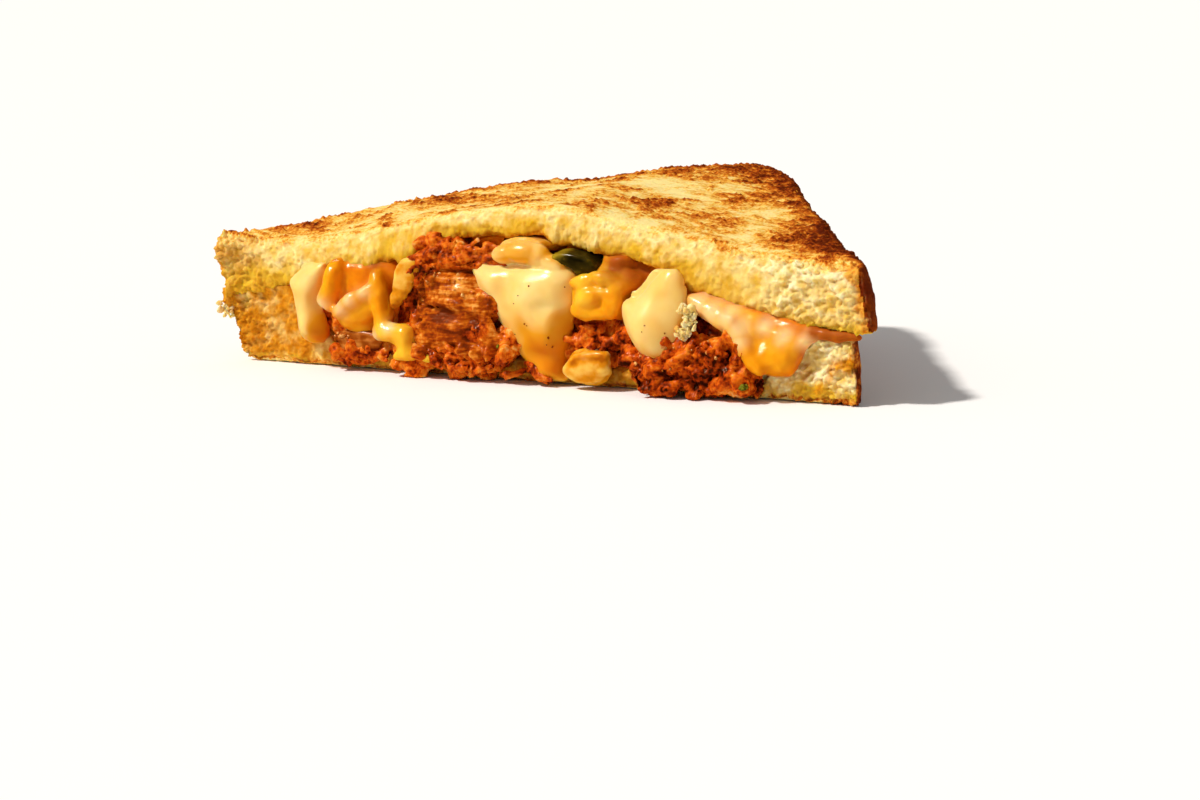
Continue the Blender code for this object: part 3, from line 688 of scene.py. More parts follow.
def pillow(outline, back, depth, roll, bulges=()):
    """A closed shape with this outline (x, z), pulled forward from y = back; its edge rolls over."""
    loop = smooth_loop(outline)
    low, high = loop.min(axis=0) - SHEET_CELL, loop.max(axis=0) + SHEET_CELL
    across, up = (int(n) for n in np.ceil((high - low) / SHEET_CELL))
    x, z = 0.5 * (low + high)
    bpy.ops.mesh.primitive_grid_add(
        x_subdivisions=across, y_subdivisions=up, size=1.0, location=spot(x, back, z),
        rotation=(math.pi / 2, 0.0, 0.0),
    )
    obj = bpy.context.object
    obj.scale = (*(high - low) * MM, 1.0)
    bpy.ops.object.transform_apply(location=True, rotation=True, scale=True)
    points, _ = read_mesh(obj)
    delete_points(obj, depth_inside(points[:, [0, 2]], loop) < 0.0)
    forward = {"value": (0.0, -SHEET_DEPTH * MM, 0.0)}
    edit(obj, lambda: bpy.ops.mesh.extrude_region_move(TRANSFORM_OT_translate=forward))
    points, _ = read_mesh(obj)
    front = points[:, 1] < back - 0.5 * SHEET_DEPTH
    edge = np.clip(depth_inside(points[:, [0, 2]], loop) / roll, 0.0, 1.0)
    reach = depth * np.ones(len(points))
    for *place, more in bulges:
        reach += more * hill(points[:, 0], points[:, 2], *place)
    points[:, 1] -= front * reach * np.sqrt(1.0 - (1.0 - edge) ** 2)
    move_points(obj, points)
    edit(obj, lambda: bpy.ops.mesh.normals_make_consistent(inside=False))
    return obj


def lump(x, y, z, rx, ry, rz, tilt=0.0):
    """A ball squeezed to these half sizes and tilted in the plane of the cut, in degrees."""
    bpy.ops.mesh.primitive_ico_sphere_add(
        subdivisions=3, radius=MM, location=spot(x, y, z), scale=(rx, ry, rz),
        rotation=(0.0, math.radians(tilt), 0.0),
    )
    return bpy.context.object


def string(*knots):
    """Lumps in a row close enough to melt into a string: each knot is x, y, z and a radius."""
    made = []
    for (ax, ay, az, ar), (bx, by, bz, br) in zip(knots, knots[1:]):
        steps = max(2, round(math.dist((ax, ay, az), (bx, by, bz)) / (0.5 * min(ar, br))))
        for k in range(steps + 1):
            t = k / steps
            r = ar + (br - ar) * t
            made.append(lump(ax + (bx - ax) * t, ay + (by - ay) * t, az + (bz - az) * t, r, r, r))
    return made


# %% Melt, press and stain
SAUCE_VOXEL = 0.34


def back_of(node, name, plane, keep_front=False):
    """The part of a solid behind a plane at this y (or in front of it)."""
    obj = copy_of_solid(node, name)
    edit(obj, lambda: bpy.ops.mesh.bisect(
        plane_co=spot(0, plane, 0), plane_no=(0, 1, 0), use_fill=True,
        clear_outer=keep_front, clear_inner=not keep_front,
    ))
    return obj


def run_together(base, extras, voxel, smoothing):
    """Joins the extras into the base and melts them into one skin."""
    select_only(base, *extras)
    bpy.ops.object.join()
    bpy.ops.object.transform_apply(location=True, rotation=True, scale=True)
    melt(base, voxel, smoothing)
    return base


def press(obj, dents=(), swell=0.0, size=6.0):
    """Moves the front: each dent is x, z, width, height and depth, and a negative depth is a bulge."""
    points, normals = read_mesh(obj)
    front = ease(0.0, 0.5, -normals[:, 1])
    for *place, depth in dents:
        points[:, 1] += depth * hill(points[:, 0], points[:, 2], *place) * front
    if swell:
        points += normals * (swell * unevenness(points, size, 2))[:, None]
    move_points(obj, points)


def near_spots(points, spots):
    """How near each point is to the spots, each an x, a z and a reach: 1 on a spot, 0 far away."""
    share = np.zeros(len(points))
    for x, z, reach in spots:
        share = np.maximum(share, hill(points[:, 0], points[:, 2], x, z, reach, reach))
    return share * (points[:, 1] < 3.0) * (0.9 + 0.16 * unevenness(points, 2.4, 2))


def gather_oil_and_shade(obj, low, high, strength, left, right, top=0.0):
    """How much deeper orange each point gets: painted shade at the lower end, the underside, the right side
    and, by top, under the bread, over random patches of chilli oil.
    """
    points, normals = read_mesh(obj)
    share = strength * ease(high, low, points[:, 2]) * ease(left, right, points[:, 0])
    share *= ease(0.4, 3.6, points[:, 2])
    share += top * ease(24.4, 26.4, points[:, 2])
    # Painted shade: faces that turn right or down, away from the lamp, get a deeper orange.
    share += 0.3 * ease(0.25, 0.85, normals[:, 0]) + 0.35 * ease(0.2, 0.9, -normals[:, 2])
    store(obj, "oil_and_shade", share + 0.25 * unevenness(points, 5.0, 2))


def drip(back, parts, dents, *oil_and_shade):
    """A drip: its parts melt into the back of its solid, dents go in and a deeper orange is painted on as
    shade.
    """
    obj = run_together(back, parts, SAUCE_VOXEL, 8)
    press(obj, dents, 0.12)
    gather_oil_and_shade(obj, *oil_and_shade)
    return obj


# %% Model the drips
left_drip = drip(back_of("sauce_left", "left_drip", -0.5), [pillow(
    ((-59.4, 17.6), (-58.4, 15.0), (-57.8, 12.0), (-57.0, 8.4), (-55.6, 5.8), (-52.8, 4.6), (-50.2, 5.5),
     (-49.1, 7.6), (-50.0, 10.4), (-51.2, 13.4), (-50.6, 16.8), (-49.6, 20.2), (-49.4, 22.8),
     (-52.4, 22.2), (-56.0, 20.8), (-58.6, 19.2)),
    0.6, 2.6, 3.4, ((-53.2, 8.4, 2.8, 3.4, 2.2), (-53.6, 15.4, 3.0, 4.4, 1.2)),
)], ((-56.4, 18.8, 1.8, 1.6, 0.6),), 5.0, 14.0, 0.55, -54.4, -50.0)

centre_drip = drip(back_of("sauce_centre", "centre_drip", -1.0), [
    pillow(
        ((-12.4, 23.6), (-11.4, 24.9), (-8.6, 25.3), (-5.0, 25.2), (-1.0, 25.4), (4.0, 25.8), (8.6, 25.6),
         (11.6, 24.6), (13.6, 22.6), (13.5, 19.4), (12.6, 15.6), (11.9, 12.2), (11.5, 8.9), (10.4, 5.6),
         (10.3, 3.2), (10.6, 1.3), (9.4, 0.4), (6.2, 0.3), (3.6, 0.6), (2.6, 2.2), (-0.4, 5.0),
         (-2.6, 7.2), (-3.7, 9.4), (-5.8, 12.4), (-8.6, 15.4), (-10.6, 18.6), (-11.8, 21.4)),
        0.4, 3.0, 4.4,
        ((3.6, 17.0, 6.6, 6.6, 3.2), (-5.6, 21.4, 4.0, 3.4, 1.6), (7.4, 9.4, 3.8, 3.4, 1.2),
         (6.8, 2.4, 3.0, 2.0, 0.9), (9.4, 22.0, 3.6, 3.4, 0.8)),
    ),
    lump(-2.6, -2.3, 26.6, 3.4, 2.3, 2.1, -8), lump(1.4, -2.5, 27.1, 4.4, 2.5, 2.4),
    lump(4.6, -2.0, 26.5, 3.2, 2.2, 2.6, 8), lump(7.6, -1.7, 25.2, 3.6, 2.0, 1.8, 14),
], (
    (7.4, 16.4, 2.4, 1.3, 0.6), (8.4, 13.0, 2.6, 2.2, -0.5), (-1.6, 24.7, 2.8, 0.8, 0.45),
    (11.4, 13.4, 1.4, 3.0, 0.5), (5.8, 6.2, 4.0, 1.4, 0.35), (-2.0, 19.6, 2.0, 3.2, 0.4),
), 6.0, 19.0, 0.8, -6.0, 6.0, 0.3)

right_drip = drip(back_of("sauce_right", "right_drip", -2.0), [pillow(
    ((24.4, 17.2), (25.4, 18.8), (28.2, 19.4), (30.0, 21.2), (32.4, 23.8), (35.0, 25.6), (37.6, 25.2),
     (39.0, 22.4), (39.6, 18.6), (39.2, 15.0), (38.4, 11.6), (37.4, 8.6), (35.4, 6.2), (32.8, 5.4),
     (29.8, 6.8), (27.0, 10.0), (25.0, 13.6)),
    -1.4, 2.6, 4.6, ((31.2, 13.0, 5.0, 6.0, 2.8), (34.6, 21.0, 2.8, 4.0, 0.2)),
)], ((27.0, 17.4, 1.4, 1.4, -0.4), (29.4, 21.2, 1.6, 1.4, 0.4)), 6.0, 10.0, 0.25, 30.0, 35.0)
print("centre drip: %.0f mm tall" % np.ptp(read_mesh(centre_drip)[0][:, 2]))

# %% [markdown]
# Mayonnaise is an emulsion: light goes in, scatters on the oil drops and comes out warm, so the
# drips glow at their edges. The skin is wet, with small crisp highlights. Ground chilli gives the
# apricot colour. A deeper orange is painted shade: it lies on the lower end, the underside and the
# right side of a drip, away from the lamp, and under the bread at the top of the centre drip.

# %% Chilli mayonnaise
sauce_finish, shader, node, place = new_material("chilli_mayonnaise")
pale = node("ValToRGB", {"Fac": node("TexNoise", grains(place, 6.0))}, ((0.3, "#fbcc6c"), (0.7, "#ffda8a")))
# Painted shade: the deeper orange of the lower end, the underside and the right side of a drip.
oil_and_shade = node("Attribute", attribute_name="oil_and_shade", out="Fac")
oil_and_shade_colour = node("ValToRGB", {"Fac": oil_and_shade}, ((0.0, "#fdd076"), (1.0, "#d87404"), (0.5, "#ea9e18")))
share = node("ValToRGB", {"Fac": oil_and_shade}, ((0.0, "#000000"), (0.3, "#ffffff")))
ripple = node("TexNoise", grains(place, 2.2, 2.0))
fill(shader, {
    "Base Color": node("Mix", {0: share, 6: pale, 7: oil_and_shade_colour}, data_type="RGBA", out=2),
    "Normal": node("Bump", {"Height": ripple, "Strength": 0.06, "Distance": 0.4 * MM}),
    "Roughness": 0.3, "Specular IOR Level": 0.25, "Coat Weight": 0.3, "Coat Roughness": 0.16,
    "Subsurface Weight": 0.5, "Subsurface Radius": (1.0, 0.5, 0.12), "Subsurface Scale": 1.2 * MM,
})
for side, obj in (("left", left_drip), ("centre", centre_drip), ("right", right_drip)):
    finish_piece(obj, "drip_" + side, sauce_finish, "creamy_sauce", "sauce_" + side)

# %% [markdown]
# ## Braised meat
# Pork braised until it falls apart, then tossed in a red sauce. Two things show: bundles of long
# fibres where a chunk was pulled open, and a granular crust of small sauced crumbs of meat. The
# crust is grown from the solid's own front: crumbs are scattered on it and melted together with it.
# The bundles are one fluted strand, modelled once, then copied and bent along paths.

# %% Scatter points on a surface


def scatter_on(obj, count, wanted, seed):
    """Random points on the surface: wanted gives a weight for each face's middle and normal."""
    rng = np.random.default_rng(seed)
    mesh = obj.data
    mesh.calc_loop_triangles()
    corners = np.empty(len(mesh.loop_triangles) * 3, np.int32)
    mesh.loop_triangles.foreach_get("vertices", corners)
    points, _ = read_mesh(obj)
    a, b, c = (points[corners.reshape(-1, 3)[:, k]] for k in range(3))
    cross = np.cross(b - a, c - a)
    area = np.linalg.norm(cross, axis=1)
    normal = cross / np.maximum(area, 1e-12)[:, None]
    area = area * wanted((a + b + c) / 3.0, normal)
    picks = rng.choice(len(area), count, p=area / area.sum())
    u, v = rng.random((2, count, 1))
    flip = u + v > 1.0
    u, v = np.where(flip, 1.0 - u, u), np.where(flip, 1.0 - v, v)
    return a[picks] + u * (b - a)[picks] + v * (c - a)[picks], normal[picks]


def shape_of(template):
    """The template's points as an array and its faces as tuples of point numbers."""
    points = np.array([vert.co for vert in template.data.vertices])
    return points, [tuple(face.vertices) for face in template.data.polygons]


def joined(name, shapes, faces):
    """One object from many copies of a shape: each copy has its own points and the same faces."""
    step = len(shapes[0])
    polygons = [tuple(v + step * k for v in face) for k in range(len(shapes)) for face in faces]
    mesh = bpy.data.meshes.new(name)
    mesh.from_pydata((np.concatenate(shapes) * MM + np.array(ZERO)).tolist(), [], polygons)
    obj = bpy.data.objects.new(name, mesh)
    bpy.context.scene.collection.objects.link(obj)
    return obj


def crumb_places(points, normals, small, large, seed, sink=0.3, uneven=0.4):
    """A matrix for each crumb: uneven, turned at random and sunk a little into the surface."""
    rng = random.Random(seed)
    places = []
    for p, n in zip(points, normals):
        size = small + (large - small) * rng.random() ** 1.8
        spin = Euler([rng.uniform(0.0, 2.0 * math.pi) for _ in range(3)])
        shape = Vector([size * rng.uniform(1.0 - uneven, 1.0 + uneven) for _ in range(3)])
        places.append(Matrix.LocRotScale(Vector(p) + Vector(n) * size * (0.5 - sink), spin, shape))
    return places


def copies(template, places, name):
    """One object that holds a copy of the template for each matrix."""
    shape, faces = shape_of(template)
    moves = [np.array(place) for place in places]
    return joined(name, [shape @ move[:3, :3].T + move[:3, 3] for move in moves], faces)


# %% Model one crumb and one strand
bpy.ops.mesh.primitive_ico_sphere_add(subdivisions=2, radius=1.0)
crumb_model = bpy.context.object
for vert in crumb_model.data.vertices:
    vert.co *= 1.0 + 0.45 * noise.noise(vert.co * 1.7)

STRAND_SIDES, STRAND_RINGS, STRAND_TWIST = 14, 14, 0.16
bpy.ops.mesh.primitive_circle_add(vertices=STRAND_SIDES, radius=1.0, fill_type="NGON")
strand_model = bpy.context.object
for vert in strand_model.data.vertices:
    vert.co *= 0.74 if vert.index % 2 else 1.0


def grow_strand():
    """Pulls the flat end up ring by ring, with a slight twist."""
    for _ in range(STRAND_RINGS):
        bpy.ops.mesh.extrude_region_move(TRANSFORM_OT_translate={"value": (0.0, 0.0, 1.0 / STRAND_RINGS)})
        bpy.ops.transform.rotate(value=STRAND_TWIST, orient_axis="Z", center_override=(0.0, 0.0, 0.0))
    bpy.ops.mesh.select_all(action="SELECT")
    bpy.ops.mesh.normals_make_consistent(inside=False)


edit(strand_model, grow_strand)
print("strand: %d points" % len(strand_model.data.vertices))

# %% Lay strands along paths


def lay_strands(paths, name):
    """Bends a copy of the strand along each path: start, middle, end, radius and flatness."""
    shape, faces = shape_of(strand_model)
    t = np.clip(shape[:, 2], 0.0, 1.0)[:, None]
    taper = 0.25 + 0.75 * np.sin(np.pi * np.clip(t, 0.03, 0.97)) ** 0.45
    forward = np.array((0.0, -1.0, 0.0))
    strands = []
    for k, (start, middle, end, radius, flat) in enumerate(paths):
        a, b, c = (np.array(v, float) for v in (start, middle, end))
        centre = (1 - t) ** 2 * a + 2 * t * (1 - t) * b + t**2 * c
        along = 2 * (1 - t) * (b - a) + 2 * t * (c - b)
        along /= np.linalg.norm(along, axis=1)[:, None]
        out = forward - along * (along @ forward)[:, None]
        out /= np.linalg.norm(out, axis=1)[:, None]
        side = np.cross(along, out)
        reach = radius * taper * (1.0 + 0.22 * np.sin(9.0 * t + 2.4 * k))
        strands.append(centre + reach * (shape[:, :1] * side + flat * shape[:, 1:2] * out))
    return joined(name, strands, faces)


# %% [markdown]
# The chunk's fibres lie in four bundles, as they do in a real muscle: two level ones, one that
# arches below them and one that folds down at the right. Each bundle is drawn by its first and its
# last strand, and the ones between are spread from one to the other. They melt into the chunk, so
# that they show as soft flutes, and only a few loose shreds stay apart.

# %% Plan the bundles
BUNDLES = (
    (((-22.5, -3.0, 19.4), (-14.5, -4.8, 19.8), (-8.6, -3.2, 18.0)),
     ((-23.2, -3.2, 15.6), (-14.5, -5.4, 15.9), (-6.6, -3.8, 13.6)), 6, 0.95),
    (((-24.4, -2.8, 14.4), (-17.0, -4.2, 14.4), (-9.6, -3.4, 13.4)),
     ((-24.0, -3.0, 11.9), (-17.0, -4.6, 12.0), (-9.8, -3.4, 11.4)), 5, 0.75),
    (((-22.6, -3.4, 10.8), (-15.0, -5.8, 15.0), (-8.0, -3.8, 8.8)),
     ((-22.0, -3.4, 7.6), (-15.4, -5.8, 10.6), (-9.6, -3.8, 5.2)), 8, 0.7),
    (((-12.6, -3.8, 17.4), (-6.6, -5.0, 16.2), (-3.0, -3.2, 7.2)),
     ((-12.4, -3.8, 13.2), (-8.6, -5.4, 12.6), (-6.6, -3.4, 5.4)), 7, 0.75),
)


def bundle_paths(rng):
    """Strands spread from each bundle's first path to its last, a little uneven."""
    paths = []
    for first, last, count, radius in BUNDLES:
        for k in range(count):
            share = k / (count - 1)
            path = []
            for a, b in zip(first, last):
                middle = np.array(a) * (1 - share) + np.array(b) * share
                nudge = [rng.uniform(-1.2, 1.2), rng.uniform(-0.5, 0.3), rng.uniform(-0.25, 0.25)]
                path.append(middle + nudge)
            paths.append((*path, radius * rng.uniform(0.6, 1.3), 0.8))
    return paths


def loose_paths(rng, count, box, length, radius, lean):
    """Short shreds that lie about inside a box (x, y and z ranges), leaning by so many degrees."""
    paths = []
    for _ in range(count):
        centre = np.array([rng.uniform(*side) for side in box])
        angle = math.radians(rng.gauss(lean, 24.0))
        half = 0.5 * rng.uniform(*length)
        step = np.array((math.cos(angle), rng.uniform(-0.25, 0.25), math.sin(angle))) * half
        kink = np.array((0.0, rng.uniform(-1.0, 0.2), rng.uniform(-0.25, 0.6) * half))
        paths.append((centre - step, centre + kink, centre + step, rng.uniform(*radius), 0.75))
    return paths


print("%d bundles of strands" % len(BUNDLES))

# %% [markdown]
# The front of the meat is built up in the order a cook would see it: crumbs where it is coated,
# fibres where it is open, then crevices pressed in between the clumps. The meat behind the front
# only has to be lumpy, because nothing but its edge shows.

# %% Crevices, clumps and open fibres
CREVICES = (
    (-21.6, 22.2, 1.6, 0.9, 1.8), (-16.6, 22.5, 3.0, 0.8, 2.0), (-11.7, 22.4, 2.2, 0.7, 1.6),
    (-23.2, 19.2, 1.0, 2.2, 1.4), (-25.6, 15.8, 1.0, 2.4, 1.8), (-27.6, 12.2, 1.0, 2.0, 1.6),
    (-24.6, 9.2, 1.6, 1.0, 1.2), (-15.6, 14.0, 6.0, 1.3, 0.8), (-9.5, 12.8, 1.6, 1.0, 1.0),
    (-4.2, 6.9, 1.2, 1.2, 1.8), (-19.1, 3.6, 2.4, 0.9, 1.2), (-13.6, 3.0, 3.0, 0.8, 1.2),
    (-2.5, 3.4, 2.0, 0.8, 1.2), (44.0, 15.5, 1.8, 1.4, 2.0), (48.6, 9.2, 1.6, 2.0, 2.2),
    (30.2, 3.0, 1.6, 1.2, 1.4), (41.8, 2.8, 1.4, 1.2, 1.6), (45.2, 5.0, 1.6, 1.5, 1.8),
    (54.0, 3.6, 1.4, 1.6, 1.4), (27.8, 10.4, 1.4, 1.2, 1.2), (36.2, 4.2, 1.4, 0.8, 1.2),
)
BRIGHT_SPOTS = (
    (-22.0, 19.5, 1.6), (-15.0, 21.0, 2.4), (-10.2, 20.4, 1.8), (-13.7, 6.2, 2.0), (-10.7, 5.6, 1.8),
    (-6.9, 8.4, 1.8), (-22.4, 7.5, 1.6), (-19.9, 25.3, 1.8), (-12.4, 25.6, 1.8), (46.4, 11.8, 1.6),
    (52.8, 10.5, 1.6), (53.3, 6.6, 2.0), (50.4, 1.5, 1.6), (43.9, 11.4, 1.5), (39.4, 6.2, 1.8),
    (32.0, 6.2, 1.4), (28.0, 7.0, 1.6),
)


def roughen_meat(obj, coarse, fine, bare, tones=0.0):
    """Clumps and pits all over, how high each point stands, with painted shade in the crevices, and how
    bare of sauce it is.
    """
    points, normals = read_mesh(obj)
    x, y, z = points.T
    clumps = unevenness(points, 2.2, 4, seed=3)
    pits = 0.4 - np.abs(unevenness(points, 0.9, 3, seed=4)) * 1.4
    broad = unevenness(points, 6.0, 2, seed=7)
    right_heap = ease(18.0, 26.0, x)
    move_points(obj, points + normals * ((1.0 - 0.8 * bare) * (coarse * clumps + fine * pits))[:, None])
    # Painted shade: the crevices, a band across the chunk and the low points are darker; some spots are
    # brighter and the right heap is a little darker.
    tones = tones + 0.16 * near_spots(points, BRIGHT_SPOTS) - 0.2 * hill(x, z, -16.0, 12.6, 7.0, 2.6)
    for place_x, place_z, wide, high, depth in CREVICES:
        tones = tones - 0.12 * depth * hill(x, z, place_x, place_z, 1.2 * wide, 1.2 * high) * (y < 2.0)
    store(obj, "ridge", 0.51 + 0.3 * clumps + 0.2 * pits + 0.16 * broad + tones - 0.1 * right_heap)
    store(obj, "bare", bare)


def open_fibres(points):
    """1 where the chunk is pulled open and its fibres show, 0 where crumbs of meat cling to it."""
    x, y, z = points.T
    roof = 23.2 - 0.4 * np.maximum(0.0, x + 10.0)
    inside = ease(-26.0, -24.0, x) * ease(-2.0, -5.0, x) * ease(4.4, 6.4, z) * ease(0.6, -0.8, z - roof)
    return inside * (y < 0.0) * ease(-0.6, -0.3, unevenness(points, 3.6, 2, (1.8, 1.0, 1.0), seed=9))


def crumbly(centres, normals):
    """Crumbs cling to the front, and hardly any to the open fibres."""
    roof = 1.0 - 0.6 * ease(18.0, 20.0, centres[:, 2])
    return (centres[:, 1] < 3.0) * (normals[:, 1] < 0.3) * (1.0 - 0.95 * open_fibres(centres)) * roof


def heaped(centres, normals):
    """Larger clumps lie in the right heap, under the chunk and above it."""
    x, y, z = centres.T
    right = ease(20.0, 26.0, x)
    return (y < 1.0) * (normals[:, 1] < 0.2) * (right + 0.7 * (z < 7.0) + 0.5 * (z > 21.0))


# %% Model the meat
MEAT_VOXEL, LAYER_VOXEL = 0.32, 0.9
MEAT_SPLIT = 5.0
rng = random.Random(5)
meat_front = back_of("pulled_meat", "meat_front", MEAT_SPLIT, keep_front=True)
grain_places = crumb_places(*scatter_on(meat_front, 3200, crumbly, 11), 0.24, 0.7, 12)
clump_places = crumb_places(*scatter_on(meat_front, 200, heaped, 13), 0.9, 2.2, 14)
beads = string((35.2, -5.2, 4.4, 1.1), (38.0, -5.6, 6.8, 1.5), (40.6, -5.2, 8.8, 1.0))
beads.append(lump(36.6, -5.2, 1.8, 2.1, 1.7, 1.7))
run_together(meat_front, [
    copies(crumb_model, grain_places, "grains"), copies(crumb_model, clump_places, "clumps"),
    lay_strands(bundle_paths(rng), "bundles"), *beads,
], MEAT_VOXEL, 2)
press(meat_front, CREVICES)
roughen_meat(meat_front, 0.32, 0.2, open_fibres(read_mesh(meat_front)[0]))

meat_layer = back_of("pulled_meat", "meat_layer", MEAT_SPLIT)
melt(meat_layer, LAYER_VOXEL, 1)
roughen_meat(meat_layer, 0.4, 0.3, np.zeros(len(meat_layer.data.vertices)))
print("crumbs of meat: %d fine, %d coarse" % (len(grain_places), len(clump_places)))

# %% Lay the loose shreds
SHRED_VOXEL = 0.26
SHREDS = (
    (12, ((-26, -6), (-4.6, -3.4), (2.2, 6.0)), (4, 8), (0.6, 1.1), -8),
    (14, ((-25, -11), (-3.2, -1.6), (24.0, 27.4)), (5, 9), (0.7, 1.2), 12),
    (10, ((-12, -4), (-2.4, -1.0), (24.6, 27.6)), (4, 7), (0.6, 1.0), 10),
    (4, ((-25, -20), (-3.8, -2.8), (20.4, 22.6)), (4, 7), (0.6, 1.0), 20),
    (22, ((27, 51), (-4.8, -3.2), (2.6, 10.6)), (3, 6), (0.8, 1.3), 20),
    (6, ((-46, -34), (-2.6, -1.2), (2.4, 4.4)), (5, 9), (0.7, 1.0), -4),
    (12, ((12, 25), (-1.4, 0.2), (8.0, 12.0)), (5, 8), (0.8, 1.2), 0),
    (8, ((-4, 6), (-2.6, -1.2), (1.4, 3.2)), (4, 7), (0.7, 1.1), -14),
)
shreds = lay_strands([path for group in SHREDS for path in loose_paths(rng, *group)], "shreds")
melt(shreds, SHRED_VOXEL, 2)
points, _ = read_mesh(shreds)
tones = 0.14 * unevenness(points, 3.0, 2, seed=8)
roughen_meat(shreds, 0.24, 0.18, 0.45 * ease(0.0, 0.5, unevenness(points, 5.0, 2, seed=10)), tones)
print("loose shreds:", sum(group[0] for group in SHREDS))

# %% [markdown]
# The meat's colour is the red sauce on brown flesh: orange-red on the crumbs, and brown with pale
# streaks where the fibres are bare. The gaps and crevices are painted maroon, as shade. A thin wet
# coat of fat gives many small highlights, each only as wide as a fibre.

# %% Sauced pork
FIBRE, MEAT_GRAIN = 0.6, 1.0


def meat_material(name, shine):
    """Meat in red sauce, from maroon painted as shade in the gaps to orange on the ridges, with bare fibres
    where it is open.
    """
    mat, shader, node, place = new_material(name)
    grain = node("TexNoise", grains(place, MEAT_GRAIN, 4.0))
    # Painted shade: the maroon low end of this ramp falls in the gaps.
    sauced = node("ValToRGB", {"Fac": broken_up(node, "ridge", (grain, 0.8))}, (
        (0.1, "#3a0c01"), (0.92, "#f8b868"), (0.26, "#8c2903"), (0.42, "#c24b07"), (0.6, "#de6c12"),
        (0.78, "#ee902c"),
    ))
    lengthways = node("Mapping", {"Vector": place, "Scale": (0.16, 0.5, 1.0)})
    fibre = node("TexNoise", grains(lengthways, FIBRE, 2.0))
    ridge = node("Attribute", attribute_name="ridge", out="Fac")
    half_ridge = node("Math", {0: ridge, 1: 0.5}, operation="MULTIPLY")
    both = node("Math", {0: fibre, 1: 0.5, 2: half_ridge}, operation="MULTIPLY_ADD")
    bare = node("ValToRGB", {"Fac": both}, (
        (0.34, "#702604"), (0.7, "#eea042"), (0.46, "#9c3c04"), (0.57, "#c8640e"),
    ))
    height = node("Math", {0: fibre, 1: grain}, operation="ADD")
    fill(shader, {
        "Base Color": layered(node, sauced, ("bare", bare)),
        "Normal": node("Bump", {"Height": height, "Strength": 0.5, "Distance": 0.25 * MM}),
        "Roughness": 0.4, "Specular IOR Level": shine, "Specular Tint": hue("#ffb469"),
        "Subsurface Weight": 0.2, "Subsurface Radius": (1.0, 0.35, 0.05), "Subsurface Scale": 0.8 * MM,
        "Coat Weight": 0.05, "Coat Roughness": 0.1,
    })
    return mat


crumb_finish = meat_material("red_sauced_pork", 0.1)
finish_piece(meat_front, "meat_crumbs", crumb_finish, "pulled_meat", "pulled_meat")
finish_piece(meat_layer, "meat_layer", crumb_finish, "pulled_meat")
finish_piece(shreds, "meat_shreds", meat_material("pulled_pork_fibres", 0.14), "pulled_meat")

# %% [markdown]
# ## Melted cheese
# Orange cheddar that has melted, run and begun to set: it hangs in curtains and strings, glassy
# and amber where it is thin, milky where it is thick. The curtains are cut to their outlines and
# get strings and folds, and everything melts into one skin with the back of the solid.

# %% Lay the curtains, folds and strings
folds = [
    pillow(
        ((-50.0, 22.4), (-46.5, 24.8), (-42.6, 25.2), (-38.0, 25.2), (-34.0, 24.6), (-31.4, 21.6),
         (-30.8, 17.0), (-31.2, 13.0), (-32.4, 9.6), (-35.6, 8.2), (-39.5, 7.8), (-43.0, 8.4),
         (-46.0, 10.4), (-48.6, 13.0), (-49.8, 17.0)),
        1.0, 1.9, 3.0,
    ),
    lump(-39.9, -2.2, 12.8, 6.2, 2.4, 3.2, -28), lump(-41.0, -1.4, 9.4, 4.0, 1.7, 1.7, 6),
    lump(-33.9, -3.2, 9.0, 1.9, 1.6, 2.3), lump(-21.8, -4.4, 4.3, 2.4, 1.3, 1.0, 12),
    pillow(
        ((-34.7, 10.9), (-33.4, 11.5), (-30.2, 11.2), (-27.0, 11.3), (-24.9, 9.9), (-24.4, 6.8),
         (-22.8, 5.8), (-19.7, 5.2), (-19.5, 3.9), (-22.3, 3.2), (-26.1, 3.0), (-29.9, 3.3),
         (-30.4, 4.8), (-29.2, 5.6), (-30.0, 6.3), (-32.3, 6.6), (-34.5, 7.8)),
        -3.2, 1.9, 2.0,
        ((-31.4, 8.9, 3.0, 1.8, 0.9), (-26.6, 8.4, 1.8, 3.4, 0.9), (-27.4, 4.2, 2.4, 0.9, 0.5)),
    ),
    pillow(
        ((11.4, 21.0), (13.4, 23.2), (17.0, 24.6), (21.0, 25.0), (25.0, 24.4), (28.0, 22.8), (27.4, 20.4),
         (25.6, 19.0), (24.6, 17.0), (24.9, 14.2), (22.7, 13.5), (20.2, 14.7), (18.0, 13.8), (15.6, 13.6),
         (12.6, 14.6), (11.2, 18.0)),
        0.8, 2.4, 2.4,
        ((16.6, 16.8, 3.0, 2.8, 1.3), (16.4, 21.4, 3.2, 1.6, 0.7), (23.4, 17.6, 1.8, 3.0, 0.8)),
    ),
    pillow(
        ((40.0, 20.6), (42.6, 20.6), (46.0, 19.6), (50.0, 18.8), (54.0, 17.8), (58.0, 15.8), (62.0, 14.2),
         (66.0, 13.2), (67.0, 12.2), (65.2, 11.0), (63.9, 9.2), (63.0, 7.2), (61.6, 5.4), (59.0, 4.7),
         (55.8, 5.1), (53.8, 6.8), (52.0, 9.0), (49.8, 11.6), (47.0, 12.6), (43.8, 14.4), (41.2, 16.4)),
        0.4, 2.4, 2.6, ((58.0, 8.8, 4.6, 3.8, 1.6), (49.0, 15.6, 5.0, 2.4, 0.9)),
    ),
]
folds += string((-46.4, -1.6, 22.0, 1.7), (-46.9, -2.4, 18.0, 2.0), (-47.7, -3.0, 15.0, 2.1),
                (-46.9, -3.2, 13.8, 1.6))
folds += string((-44.6, -3.4, 12.4, 1.5), (-40.4, -4.3, 15.2, 1.8), (-35.6, -3.5, 18.0, 1.3))
folds += string((-35.4, -1.8, 20.2, 1.8), (-34.4, -2.4, 16.4, 2.3), (-33.2, -2.8, 12.8, 2.2),
                (-33.4, -3.2, 9.8, 2.0))
